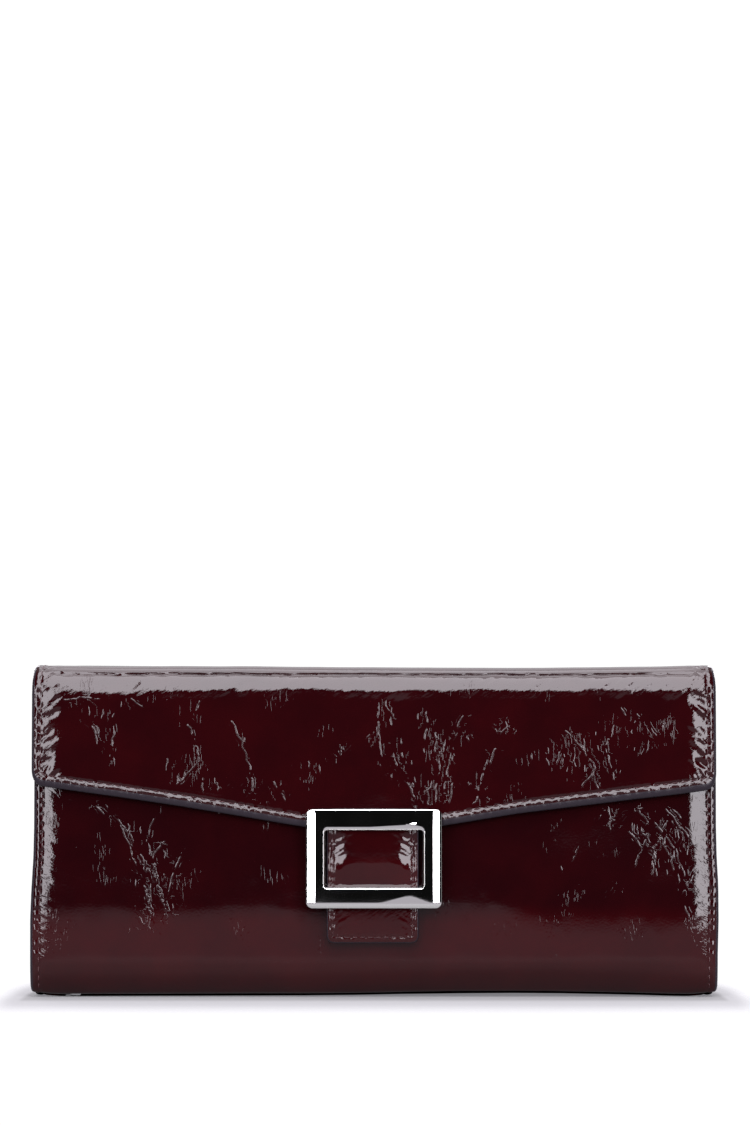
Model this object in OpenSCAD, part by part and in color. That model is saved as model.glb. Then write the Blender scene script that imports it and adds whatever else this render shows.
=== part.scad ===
// Long flap wallet: a leather-covered case with a front flap, strap tab and frame buckle,
// two card panels, two note compartments and a zipped coin pocket between them.
// Millimetres. +X runs along the length, -Y is the front, +Z is up.
// The origin is under the middle of the wallet, on the surface that it stands on.

/* [Overall] */
// Widest outside length, across the front cover near the bottom
wallet_w = 195; // [170:1:220]
// Height over the top fold
wallet_h = 94.5; // [88:0.5:105]
// Length of the back, top strip and flap
flap_w = 194; // [170:1:219]

/* [Panels] */
// Thickness of the outer leather
leather_t = 1.4; // [1.2:0.1:1.6]
// Thickness of the stiffening board
board_t = 0.5; // [0.3:0.1:0.6]
// Thickness of the lining
lining_t = 0.5; // [0.3:0.1:0.6]
// Height of the front cover
front_h = 85; // [80:0.5:86]
// Radius of the top folds, outside
fold_r = 6.5; // [5:0.5:8]

/* [Inside] */
// Clear depth of each note compartment
note_gap = 4.4; // [4.2:0.1:6]
// Clear depth inside the coin pocket
coin_gap = 4.4; // [4.2:0.1:6]
// Thickness of one card slot layer
slot_t = 0.5; // [0.4:0.1:0.6]
// Card slots on each card panel
slot_count = 4; // [2:1:4]
// Height step from one card slot to the next
slot_step = 9.5; // [8:0.5:11]
// Height of the top of the coin pocket walls
pocket_top = 76; // [70:0.5:77]

/* [Flap] */
// Height of the flap's lower edge beside the buckle
flap_edge_z = 48; // [44:0.1:52]
// Slope of the flap's lower edge
flap_slope = 8.6; // [6:0.1:14]
// Radius of the flap's lower corners
flap_corner_r = 4.5; // [3:0.5:10]

/* [Buckle and tab] */
// Outside length of the buckle frame
buckle_w = 38.2; // [34:0.1:44]
// Outside height of the buckle frame
buckle_h = 27.8; // [25:0.1:32]
// Height of the buckle's middle
buckle_z = 39.4; // [37:0.1:41]
// Thickness of the buckle frame
buckle_t = 3.2; // [2.5:0.1:4]
// Length of the window in the buckle
window_w = 27.8; // [26:0.1:32]
// Height of the window in the buckle
window_h = 16.2; // [15:0.1:19]
// Width of the strap tab
tab_w = 26; // [22:0.5:27]
// Height of the tab's lower end
tab_z = 15.5; // [12:0.5:20]

/* [Zip] */
// Length of the row of teeth
chain_l = 160; // [140:2:164]
// Distance between teeth on one side
tooth_pitch = 2.2; // [2:0.1:3]
// Length of the pull
pull_l = 13; // [9:0.5:13]

/* [Hidden] */

patent_leather = [0.24, 0.03, 0.06];
inner_leather = [0.36, 0.06, 0.09];
lining_cloth = [0.30, 0.08, 0.10];
board_grey = [0.55, 0.50, 0.45];
nickel = [0.80, 0.80, 0.78];

// Depths. Every sheet lies flat against the next one.
panel_t = leather_t + board_t + lining_t;
card_t = slot_count * slot_t;
pocket_wall_t = 0.8;
pocket_end_t = 1.2;
pocket_lining_t = 0.3;
tab_layer_t = 0.9;
flap_gap = 0.3;
pocket_half = coin_gap / 2 + pocket_lining_t + pocket_wall_t;
body_half = pocket_half + note_gap + card_t + panel_t;
total_depth = 2 * body_half + flap_gap + panel_t + 2 * tab_layer_t + buckle_t;

y_back = total_depth / 2;
y_mid = y_back - body_half;
y_front = y_mid - body_half;
y_flap_in = y_front - flap_gap;
y_flap = y_flap_in - panel_t;
y_tab = y_flap - 2 * tab_layer_t;
y_buckle = y_tab - buckle_t;

// Folds. The bottom corners are tall ellipses, and the top folds are round.
bottom_ry = 4;
bottom_rz = 12;
fold_mid = 45;
steps = 10;
y_foot = y_front + bottom_ry;
z_panel = bottom_rz;
slot_z = 8;
z_fold = wallet_h - fold_r;

card_half_w = 88;
pocket_half_w = 93.5;
pocket_floor_z = 4;
board_inset = 4;
gusset_t = 0.7;
gusset_outer_x = 95.4;
gusset_inner_x = 84.5;
gusset_z0 = 6;
gusset_z1 = 80;

snap_z = 30;
snap_r = 5.5;
snap_cap_r = 4;
snap_washer_r = 4;
stud_flange_t = 0.5;
stud_post_r = 1.9;
stud_post_h = 2;
socket_t = 1.7;
socket_bore_r = 2.5;

rivet_x = 10;
rivet_z = buckle_z + (buckle_h + window_h) / 4;
rivet_r = 0.8;
rivet_clearance = 0.05;
washer_r = 2.4;

tape_t = 0.4;
tape_drop = 7;
tape_half_w = 87;
tape_z = pocket_top - 1.4;
tooth_w = 1;
tooth_h = 1.6;
tooth_reach = 0.5;
tooth_root_y = 1.5;
chain_z0 = tape_z + tape_t / 2 - tooth_h / 2;
chain_z1 = chain_z0 + tooth_h;
slider_l = 8;
slider_half_w = 2.1;
slider_x = chain_l / 2 - slider_l / 2 - 2;
slider_clearance = 0.15;
slider_roof_t = 0.8;
slider_flange_t = 0.45;
bridge_l = 3.2;
bridge_h = 1.9;
bridge_half_w = 0.7;
hinge_z = chain_z1 + slider_clearance + slider_roof_t + 1;
hinge_bore_r = 0.5;
hinge_pin_r = 0.43;
pull_half_w = 2;
pull_t = 0.8;

// A sheet's side view, extruded along the wallet. Points are [y, z].
module along_x(width) {
    rotate([90, 0, 90]) linear_extrude(height = width, center = true) children();
}

// A sheet's front view, extruded in depth from y0 towards the back. Points are [x, z].
module along_y(y0, depth) {
    translate([0, y0 + depth, 0]) rotate([90, 0, 0]) linear_extrude(height = depth) children();
}

function arc(cy, cz, ry, rz, a0, a1) =
    [for (i = [0:steps]) let (a = a0 + (a1 - a0) * i / steps) [cy + ry * cos(a), cz + rz * sin(a)]];

// The three bends of the leather, at a depth d below its outer face.
function back_bottom(d) =
    arc(y_back - bottom_ry, bottom_rz, bottom_ry - d, bottom_rz - d, -90, 0);
function front_bottom(d) = arc(y_foot, bottom_rz, bottom_ry - d, bottom_rz - d, -90, -180);
function rear_fold(d, a0, a1) = arc(y_back - fold_r, z_fold, fold_r - d, fold_r - d, a0, a1);
function front_fold(d, a0, a1) = arc(y_flap + fold_r, z_fold, fold_r - d, fold_r - d, a0, a1);

function reversed(points) = [for (i = [len(points) - 1:-1:0]) points[i]];

module band(outer, inner) {
    polygon(concat(outer, reversed(inner)));
}

module rounded_rect(w, h, r) {
    square([w, h - 2 * r], center = true);
    square([w - 2 * r, h], center = true);
    for (x = [-1, 1], z = [-1, 1])
        translate([x * (w / 2 - r), z * (h / 2 - r)]) circle(r = r, $fn = 48);
}

module disc_y(y0, depth, x, z, r) {
    translate([x, y0 + depth, z]) rotate([90, 0, 0]) cylinder(r = r, h = depth, $fn = 64);
}

// Outline of the front cover: fullest low down, drawn in at the foot, round at the top.
module front_outline(inset = 0) {
    top_r = 4;
    waist = wallet_w / 2 - 1;
    half = [
        [wallet_w / 2 - 0.8, 0], [wallet_w / 2 - 0.3, 1], [wallet_w / 2, 4],
        [wallet_w / 2, 22], [waist, 48], [waist, front_h - top_r]
    ];
    corner = [for (i = [0:steps]) let (a = 90 * i / steps)
        [waist - top_r + top_r * cos(a), front_h - top_r + top_r * sin(a)]];
    right = [for (p = concat(half, corner)) [p[0] - inset, min(p[1], front_h - inset)]];
    polygon(concat(right, [for (p = reversed(right)) [-p[0], p[1]]]));
}

// Outline of the flap below its fold, with a lower edge that slopes to the middle.
module flap_outline(inset = 0) {
    side = flap_w / 2 - inset;
    r = flap_corner_r - inset / 2;
    edge_mid_z = flap_edge_z - buckle_w / 2 * tan(flap_slope) + inset;
    centre_x = side - r;
    centre_z = edge_mid_z + centre_x * tan(flap_slope) + r / cos(flap_slope);
    corner = [for (i = [0:steps]) let (a = -(90 - flap_slope) * i / steps)
        [centre_x + r * cos(a), centre_z + r * sin(a)]];
    right = concat([[side, z_fold]], corner, [[0, edge_mid_z]]);
    polygon(concat(right, [for (i = [len(right) - 2:-1:0]) [-right[i][0], right[i][1]]]));
}

module tab_outline() {
    tab_top = rivet_z + 2.2;
    translate([0, (tab_z + tab_top) / 2]) rounded_rect(tab_w, tab_top - tab_z, 2);
}

module rivet_holes(y0, depth, r) {
    for (x = [-rivet_x, rivet_x]) disc_y(y0, depth, x, rivet_z, r);
}

// Back of the wallet, with the base that it stands on
module back_cover() {
    color(patent_leather) intersection() {
        along_x(flap_w) band(
            concat([[y_foot, 0]], back_bottom(0), rear_fold(0, 0, fold_mid)),
            concat([[y_foot, leather_t]], back_bottom(leather_t), rear_fold(leather_t, 0, fold_mid)));
        along_y(-wallet_w, 2 * wallet_w) polygon([
            [-flap_w / 2 + 0.5, 0], [flap_w / 2 - 0.5, 0], [flap_w / 2, 2], [flap_w / 2, wallet_h],
            [-flap_w / 2, wallet_h], [-flap_w / 2, 2]]);
    }
}

module panel_sheet(y0, depth, top, inset) {
    along_y(y0, depth) translate([0, (z_panel + top) / 2])
        square([flap_w - 2 * inset, top - z_panel], center = true);
}

module back_board() {
    color(board_grey)
        panel_sheet(y_back - leather_t - board_t, board_t, z_fold - board_inset, board_inset);
}

module back_lining() {
    d0 = leather_t + board_t;
    color(lining_cloth) along_x(flap_w - 2) band(
        concat([[y_back - d0, z_panel]], rear_fold(d0, 0, fold_mid)),
        concat([[y_back - panel_t, z_panel]], rear_fold(panel_t, 0, fold_mid)));
}

// Card slot layers, numbered from the tallest, which lies against the lining.
// facing is 1 for the back panel and -1 for the front one.
module card_slot(number, facing, first_top) {
    face = body_half - panel_t - (number - 1) * slot_t;
    y0 = y_mid + facing * face - (facing > 0 ? slot_t : 0);
    top = first_top - (number - 1) * slot_step;
    color(inner_leather) along_y(y0, slot_t) translate([0, (slot_z + top) / 2])
        square([2 * card_half_w, top - slot_z], center = true);
}

// One bellows fold of a side gusset, from a card panel's edge to the coin pocket's edge
module gusset(side, facing) {
    y_panel = y_mid + facing * (body_half - panel_t - gusset_t / 2);
    y_pocket = y_mid + facing * (pocket_half + gusset_t / 2);
    y_valley = y_mid + facing * (pocket_half + note_gap / 2);
    line = [[gusset_outer_x, y_panel], [gusset_inner_x, y_valley], [pocket_half_w, y_pocket]];
    half = gusset_t / 2;
    across = facing * half;
    color(inner_leather) translate([0, 0, gusset_z0]) linear_extrude(height = gusset_z1 - gusset_z0)
        polygon([for (p = [
            [line[0][0], line[0][1] + across], [line[1][0] - half, line[1][1]],
            [line[2][0], line[2][1] - across], [line[2][0], line[2][1] + across],
            [line[1][0] + 2 * half, line[1][1]], [line[0][0], line[0][1] - across]
        ]) [side * p[0], p[1]]]);
}

module front_cover() {
    color(patent_leather) intersection() {
        along_x(wallet_w) band(
            concat(front_bottom(0), [[y_front, front_h]]),
            concat(front_bottom(leather_t), [[y_front + leather_t, front_h]]));
        along_y(-wallet_w, 2 * wallet_w) front_outline();
    }
}

module front_board() {
    color(board_grey) difference() {
        panel_sheet(y_front + leather_t, board_t, front_h - board_inset, board_inset);
        disc_y(y_front, panel_t, 0, snap_z, snap_washer_r + rivet_clearance);
    }
}

module front_lining() {
    color(lining_cloth)
        panel_sheet(y_front + leather_t + board_t, lining_t, front_h - 1, 2);
}

// Press stud on the front cover, riveted through the leather to a washer behind it
module snap_stud() {
    color(nickel) {
        disc_y(y_front - stud_flange_t, stud_flange_t, 0, snap_z, snap_r);
        disc_y(y_front - stud_post_h, stud_post_h, 0, snap_z, stud_post_r);
    }
}

module snap_stud_washer() {
    color(nickel) disc_y(y_front + leather_t, board_t, 0, snap_z, snap_washer_r);
}

// A thin-walled box that is open at the top
module pocket_box(half_w, half_d, floor_z, top, side_t, end_t) {
    translate([0, y_mid, 0]) difference() {
        translate([-half_w, -half_d, floor_z]) cube([2 * half_w, 2 * half_d, top - floor_z]);
        translate([end_t - half_w, side_t - half_d, floor_z + side_t])
            cube([2 * (half_w - end_t), 2 * (half_d - side_t), top]);
    }
}

module coin_pocket_shell() {
    color(inner_leather) pocket_box(
        pocket_half_w, pocket_half, pocket_floor_z, pocket_top, pocket_wall_t, pocket_end_t);
}

module coin_pocket_lining() {
    color(lining_cloth) pocket_box(
        pocket_half_w - pocket_end_t, pocket_half - pocket_wall_t,
        pocket_floor_z + pocket_wall_t, tape_z - tape_drop, pocket_lining_t, pocket_lining_t);
}

// One half of the zip tape: glued down the pocket wall, then turned in to the teeth
module zip_tape(facing) {
    wall_y = coin_gap / 2 + pocket_lining_t;
    color(lining_cloth) translate([0, y_mid, 0]) along_x(2 * tape_half_w) polygon([
        [facing * tooth_root_y, tape_z], [facing * (wall_y - tape_t), tape_z],
        [facing * (wall_y - tape_t), tape_z - tape_drop], [facing * wall_y, tape_z - tape_drop],
        [facing * wall_y, tape_z + tape_t], [facing * tooth_root_y, tape_z + tape_t]]);
}

// One side's teeth on their cord. The two sides stand half a pitch apart, meshed.
module zip_teeth(facing) {
    count = floor(chain_l / tooth_pitch);
    start = -chain_l / 2 + (facing > 0 ? tooth_pitch / 2 : 0);
    cord_y = 1;
    comb = [for (i = [0:count - 1], corner = [0:3])
        [start + i * tooth_pitch + (corner > 1 ? tooth_w : 0),
         facing * (corner == 0 || corner == 3 ? cord_y : -tooth_reach)]];
    color(nickel) translate([0, y_mid, chain_z0]) linear_extrude(height = tooth_h) polygon(concat(
        [[start, facing * tooth_root_y]], comb,
        [[start + (count - 1) * tooth_pitch + tooth_w, facing * tooth_root_y]]));
}

module zip_end_stops() {
    stop_l = 1.8;
    color(nickel) for (side = [-1, 1])
        translate([side * (chain_l / 2 + stop_l), y_mid, (chain_z0 + chain_z1) / 2])
            cube([stop_l, 2 * tooth_root_y, tooth_h], center = true);
}

// Slider: a roof with two flanges over the teeth, and a bridge bored for the pull's pin
module zip_slider() {
    roof_z = chain_z1 + slider_clearance;
    flange_z = tape_z + tape_t + slider_clearance;
    color(nickel) translate([slider_x, y_mid, 0]) difference() {
        union() {
            translate([-slider_l / 2, -slider_half_w, roof_z])
                cube([slider_l, 2 * slider_half_w, slider_roof_t]);
            for (side = [-1, 1])
                translate([-slider_l / 2, side * (slider_half_w - slider_flange_t / 2) - slider_flange_t / 2, flange_z])
                    cube([slider_l, slider_flange_t, roof_z + 0.1 - flange_z]);
            translate([-bridge_l / 2, -bridge_half_w, roof_z + slider_roof_t - 0.1])
                cube([bridge_l, 2 * bridge_half_w, bridge_h + 0.1]);
        }
        translate([0, 0, hinge_z]) rotate([90, 0, 0])
            cylinder(r = hinge_bore_r, h = 4 * bridge_half_w, center = true, $fn = 48);
    }
}

// Pull: a plate with a fork at one end, whose pin runs through the slider's bridge
module zip_pull() {
    fork_gap = bridge_half_w + 0.15;
    fork_clear = bridge_l / 2 + 0.5;
    color(nickel) translate([slider_x, y_mid, hinge_z]) {
        difference() {
            translate([-pull_l, -pull_half_w, -pull_t / 2]) cube([pull_l, 2 * pull_half_w, pull_t]);
            translate([-fork_clear, -fork_gap, -pull_t]) cube([2 * fork_clear, 2 * fork_gap, 2 * pull_t]);
            translate([-pull_l + 2.2, 0, -pull_t]) cylinder(r = 0.9, h = 2 * pull_t, $fn = 48);
        }
        rotate([90, 0, 0]) cylinder(r = hinge_pin_r, h = 2 * pull_half_w, center = true, $fn = 48);
    }
}

module top_strip_cover() {
    color(patent_leather) along_x(flap_w) band(
        concat(rear_fold(0, fold_mid, 90), front_fold(0, 90, 180 - fold_mid)),
        concat(rear_fold(leather_t, fold_mid, 90), front_fold(leather_t, 90, 180 - fold_mid)));
}

module top_strip_lining() {
    d0 = leather_t + board_t;
    color(lining_cloth) along_x(flap_w - 2) band(
        concat(rear_fold(d0, fold_mid, 90), front_fold(d0, 90, 180 - fold_mid)),
        concat(rear_fold(panel_t, fold_mid, 90), front_fold(panel_t, 90, 180 - fold_mid)));
}

// The flap's share of the front fold, between depths d0 and d1 below its outer face
module flap_fold(d0, d1, width) {
    along_x(width) band(front_fold(d0, 180 - fold_mid, 180), front_fold(d1, 180 - fold_mid, 180));
}

module flap_cover() {
    color(patent_leather) difference() {
        union() {
            flap_fold(0, leather_t, flap_w);
            along_y(y_flap, leather_t) flap_outline();
        }
        rivet_holes(y_flap - 1, panel_t, rivet_r + rivet_clearance);
    }
}

module flap_board() {
    color(board_grey) difference() {
        along_y(y_flap + leather_t, board_t) flap_outline(board_inset);
        rivet_holes(y_flap, panel_t, washer_r + rivet_clearance);
    }
}

module flap_lining() {
    d0 = leather_t + board_t;
    color(lining_cloth) {
        flap_fold(d0, panel_t, flap_w - 2);
        along_y(y_flap + d0, lining_t) flap_outline(1);
    }
}

module tab_front() {
    color(patent_leather) difference() {
        along_y(y_tab, tab_layer_t) tab_outline();
        rivet_holes(y_tab - 1, total_depth, rivet_r + rivet_clearance);
    }
}

module tab_back() {
    color(inner_leather) difference() {
        along_y(y_tab + tab_layer_t, tab_layer_t) tab_outline();
        rivet_holes(y_tab - 1, total_depth, rivet_r + rivet_clearance);
        disc_y(y_tab, total_depth, 0, snap_z, snap_cap_r + rivet_clearance);
    }
}

module buckle_frame() {
    color(nickel) difference() {
        along_y(y_buckle, buckle_t) translate([0, buckle_z]) rounded_rect(buckle_w, buckle_h, 2.2);
        along_y(y_buckle - 1, buckle_t + 2) translate([0, buckle_z])
            rounded_rect(window_w, window_h, 1.4);
    }
}

// Two posts behind the buckle's top bar, through the tab and the flap leather
module buckle_rivets() {
    color(nickel) rivet_holes(y_tab, 2 * tab_layer_t + leather_t, rivet_r);
}

module buckle_washers() {
    color(nickel) rivet_holes(y_flap + leather_t, board_t, washer_r);
}

// Press stud's socket behind the tab, and the cap that it is riveted to
module snap_socket() {
    color(nickel) difference() {
        disc_y(y_flap, socket_t, 0, snap_z, snap_r);
        disc_y(y_flap + 0.3, socket_t, 0, snap_z, socket_bore_r);
    }
}

module snap_cap() {
    color(nickel) disc_y(y_tab + tab_layer_t, tab_layer_t, 0, snap_z, snap_cap_r);
}

back_cover();
back_board();
back_lining();
for (number = [1:slot_count]) {
    card_slot(number, 1, 80);
    card_slot(number, -1, 77);
}
gusset(-1, 1);  // rear_gusset_left
gusset(1, 1);  // rear_gusset_right
gusset(-1, -1);  // front_gusset_left
gusset(1, -1);  // front_gusset_right
front_cover();
front_board();
front_lining();
snap_stud();
snap_stud_washer();
coin_pocket_shell();
coin_pocket_lining();
zip_tape(-1);  // zip_tape_front
zip_tape(1);  // zip_tape_rear
zip_teeth(-1);  // zip_teeth_front
zip_teeth(1);  // zip_teeth_rear
zip_end_stops();
zip_slider();
zip_pull();
top_strip_cover();
top_strip_lining();
flap_cover();
flap_board();
flap_lining();
tab_front();
tab_back();
buckle_frame();
buckle_rivets();
buckle_washers();
snap_socket();
snap_cap();
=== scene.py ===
"""The long flap wallet's looks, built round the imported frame. Lengths here are in millimetres."""
import math

import bpy
import numpy as np
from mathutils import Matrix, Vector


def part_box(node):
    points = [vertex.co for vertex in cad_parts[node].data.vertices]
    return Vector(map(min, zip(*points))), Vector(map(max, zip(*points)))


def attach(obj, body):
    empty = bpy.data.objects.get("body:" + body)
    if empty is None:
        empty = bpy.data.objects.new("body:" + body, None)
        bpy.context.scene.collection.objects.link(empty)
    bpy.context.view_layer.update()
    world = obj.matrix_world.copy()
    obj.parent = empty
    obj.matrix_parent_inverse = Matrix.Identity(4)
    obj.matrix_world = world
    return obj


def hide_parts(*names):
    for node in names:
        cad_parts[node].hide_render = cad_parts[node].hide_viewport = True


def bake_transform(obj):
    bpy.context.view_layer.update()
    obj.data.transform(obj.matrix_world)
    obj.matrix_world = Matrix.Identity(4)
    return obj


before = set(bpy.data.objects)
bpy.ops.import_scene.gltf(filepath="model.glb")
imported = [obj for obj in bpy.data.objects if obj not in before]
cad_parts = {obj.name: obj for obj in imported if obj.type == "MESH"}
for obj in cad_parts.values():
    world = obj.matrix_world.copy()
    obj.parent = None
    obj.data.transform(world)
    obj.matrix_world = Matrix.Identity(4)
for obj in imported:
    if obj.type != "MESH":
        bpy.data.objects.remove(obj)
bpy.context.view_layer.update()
MM = 0.001


def box_of(node):
    """The low and high corners of a CAD node's box."""
    return [np.array(corner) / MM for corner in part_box(node)]


_, Y_FOOT, _ = box_of("back_cover")[0]
_, Y_BACK, _ = box_of("back_cover")[1]
(_, Y_FRONT, _), (BODY_HALF, _, FRONT_TOP) = box_of("front_cover")
(_, Y_FLAP, FLAP_LOW), (FLAP_HALF, _, _) = box_of("flap_cover")
(_, Y_TAB, TAB_LOW), (TAB_HALF, _, TAB_HIGH) = box_of("tab_front")
_, (_, _, Z_TOP) = box_of("top_strip_cover")
SNAP_Z = sum(corner[2] for corner in box_of("snap_stud")) / 2
FOLD_R = 6.5  # the folds along the top
FOLD_Z = Z_TOP - FOLD_R
BOTTOM_RY, BOTTOM_RZ = 4, 12  # the folds along the base are taller than they are deep
TOP_MIDDLE = (Y_BACK + Y_FLAP) / 2
BASE_SEAM = Y_FOOT + 3.5
PANEL_T = 2.4  # leather, board and lining
COVER_T = 1.8  # the leather as its painted edge shows it
STITCH_IN = 1.6  # from the leather's border to its stitches
THREAD_R = 0.15
SLOPE = math.radians(8.6)  # of the flap's lower edge
PITCH = 2.7  # from stitch to stitch


# ---------------------------------------------------------------- camera, lights and room
def aim(obj, place, target):
    """Puts a camera or lamp at a place, looking at the target."""
    obj.location = [c * MM for c in place]
    x, y, z = np.array(target, float) - np.array(place, float)
    obj.rotation_euler = (math.atan2(math.hypot(x, y), -z), 0, math.atan2(y, x) - math.pi / 2)


camera = bpy.data.objects.new("camera", bpy.data.cameras.new("camera"))
bpy.context.scene.collection.objects.link(camera)
bpy.context.scene.camera = camera
camera.data.lens = 112.8
camera.data.clip_start = 0.01
CAMERA_X, CAMERA_Y, CAMERA_Z = 0.3, -1010, 70
LOOK_UP = math.radians(3.045)
LOOK_FAR = 1000
aim(camera, (CAMERA_X, CAMERA_Y, CAMERA_Z),
    (CAMERA_X, CAMERA_Y + LOOK_FAR, CAMERA_Z + LOOK_FAR * math.tan(LOOK_UP)))
LAMP_FAR = 1200
LIT_Z = 50


def softbox(name, azimuth, elevation, width, height, radiance):
    """A lamp seen from the wallet at this azimuth (0 is the front, + is right) and elevation."""
    az, el = math.radians(azimuth), math.radians(elevation)
    place = (LAMP_FAR * math.sin(az) * math.cos(el), -LAMP_FAR * math.cos(az) * math.cos(el),
             LIT_Z + LAMP_FAR * math.sin(el))
    data = bpy.data.lights.new(name, "AREA")
    data.shape = "RECTANGLE"
    data.size, data.size_y = width * MM, height * MM
    data.energy = radiance * math.pi * data.size * data.size_y
    data.color = (1.0, 0.965, 1.03)
    lamp = bpy.data.objects.new(name, data)
    bpy.context.scene.collection.objects.link(lamp)
    aim(lamp, place, (0, 0, LIT_Z))
    lamp.visible_camera = False


for lamp_row in (
        ("front_high", 0, 43.5, 600, 1450, 14.0),
        ("top", 0, 95, 600, 940, 6.0),
        ("past_top", 180, 54, 600, 420, 2.5),
        ("past_top_low", 180, 35, 600, 400, 1.1),
        ("left", -23.5, 10.5, 310, 700, 14.5),
        ("right", 23, 10.5, 345, 700, 15.5),
        ("behind_left", 152, 25, 420, 800, 7.0),
        ("behind_right", -150, 25, 420, 800, 7.0)):
    softbox(*lamp_row)

scene = bpy.context.scene
scene.view_settings.view_transform = "Standard"
scene.view_settings.look = "None"
world = bpy.data.worlds.new("studio")
scene.world = world
world.use_nodes = True


class Nodes:
    """Short names for making a node tree."""

    def __init__(self, tree):
        self.tree = tree
        tree.nodes.clear()

    def add(self, kind, inputs=(), **settings):
        node = self.tree.nodes.new(kind)
        for key, value in settings.items():
            setattr(node, key, value)
        for key, value in dict(inputs).items():
            if hasattr(value, "links"):
                self.tree.links.new(value, node.inputs[key])
            else:
                node.inputs[key].default_value = value
        return node

    def math(self, operation, *values):
        node = self.add("ShaderNodeMath", enumerate(values), operation=operation)
        return node.outputs[0]

    def times(self, a, b):
        return self.math("MULTIPLY", a, b)

    def plus(self, a, b):
        return self.math("ADD", a, b)

    def off(self, value, middle):
        """How far a value is from this one, either way."""
        return self.math("ABSOLUTE", self.math("SUBTRACT", value, middle))

    def vector(self, operation, *values):
        return self.add("ShaderNodeVectorMath", enumerate(values), operation=operation).outputs[0]

    def span(self, value, low, high, to_low=0.0, to_high=1.0):
        """value from low..high to to_low..to_high, smoothly, clamped."""
        return self.add("ShaderNodeMapRange", {0: value, 1: low, 2: high, 3: to_low, 4: to_high},
                        interpolation_type="SMOOTHSTEP").outputs[0]

    def scale(self, vector, *factors):
        return self.vector("MULTIPLY", vector, factors)

    def noise(self, vector, scale, detail=2.0, rough=0.5):
        inputs = {"Vector": vector, "Scale": scale, "Detail": detail, "Roughness": rough}
        return self.add("ShaderNodeTexNoise", inputs).outputs["Fac"]

    def mix(self, factor, a, b):
        node = self.add("ShaderNodeMix", data_type="RGBA")
        for socket, value in zip((node.inputs[0], node.inputs[6], node.inputs[7]), (factor, a, b)):
            if hasattr(value, "links"):
                self.tree.links.new(value, socket)
            else:
                socket.default_value = value if socket is node.inputs[0] else (*value, 1.0)
        return node.outputs[2]

    def bump(self, height, distance, normal=None):
        """A bumpy normal. The distance is in metres."""
        inputs = {"Height": height, "Distance": distance, "Strength": 1.0}
        if normal is not None:
            inputs["Normal"] = normal
        return self.add("ShaderNodeBump", inputs).outputs[0]


n = Nodes(world.node_tree)
toward = n.add("ShaderNodeTexCoord").outputs["Generated"]
_, axis_y, axis_z = n.add("ShaderNodeSeparateXYZ", {0: toward}).outputs
walls = n.mix(n.span(axis_y, -0.5, 0.2), (0.006,) * 3, (0.75, 0.75, 0.77))
shiny = n.add("ShaderNodeLightPath").outputs["Is Glossy Ray"]
ground = n.mix(shiny, (0.5, 0.47, 0.5), (0.68, 0.64, 0.71))
low = n.mix(n.span(axis_z, -0.055, -0.105), walls, ground)
room = n.add("ShaderNodeBackground", {"Color": low})
white = n.add("ShaderNodeBackground", {"Color": (1, 1, 1, 1), "Strength": 1.05})
seen = n.add("ShaderNodeLightPath").outputs["Is Camera Ray"]
chosen = n.add("ShaderNodeMixShader", {0: seen, 1: room.outputs[0], 2: white.outputs[0]})
n.add("ShaderNodeOutputWorld", {0: chosen.outputs[0]})


# ---------------------------------------------------------------- materials
def material(name):
    """A new material and its nodes."""
    made = bpy.data.materials.new(name)
    made.use_nodes = True
    return made, Nodes(made.node_tree)


def finish_material(n, **inputs):
    """Ends a material in a Principled shader, with its inputs' names as keywords."""
    named = {key.replace("_", " "): value for key, value in inputs.items()}
    shader = n.add("ShaderNodeBsdfPrincipled", named)
    n.add("ShaderNodeOutputMaterial", {0: shader.outputs[0]})


def sheet_place(n):
    """Where a point lay on its flat sheet, in millimetres, so the pattern stays put when it bends."""
    return n.add("ShaderNodeAttribute", attribute_name="sheet").outputs["Vector"]


def object_place(n):
    """Where a point lies on its object, in millimetres."""
    place = n.add("ShaderNodeTexCoord").outputs["Object"]
    return n.vector("MULTIPLY", place, (1 / MM,) * 3)


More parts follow.
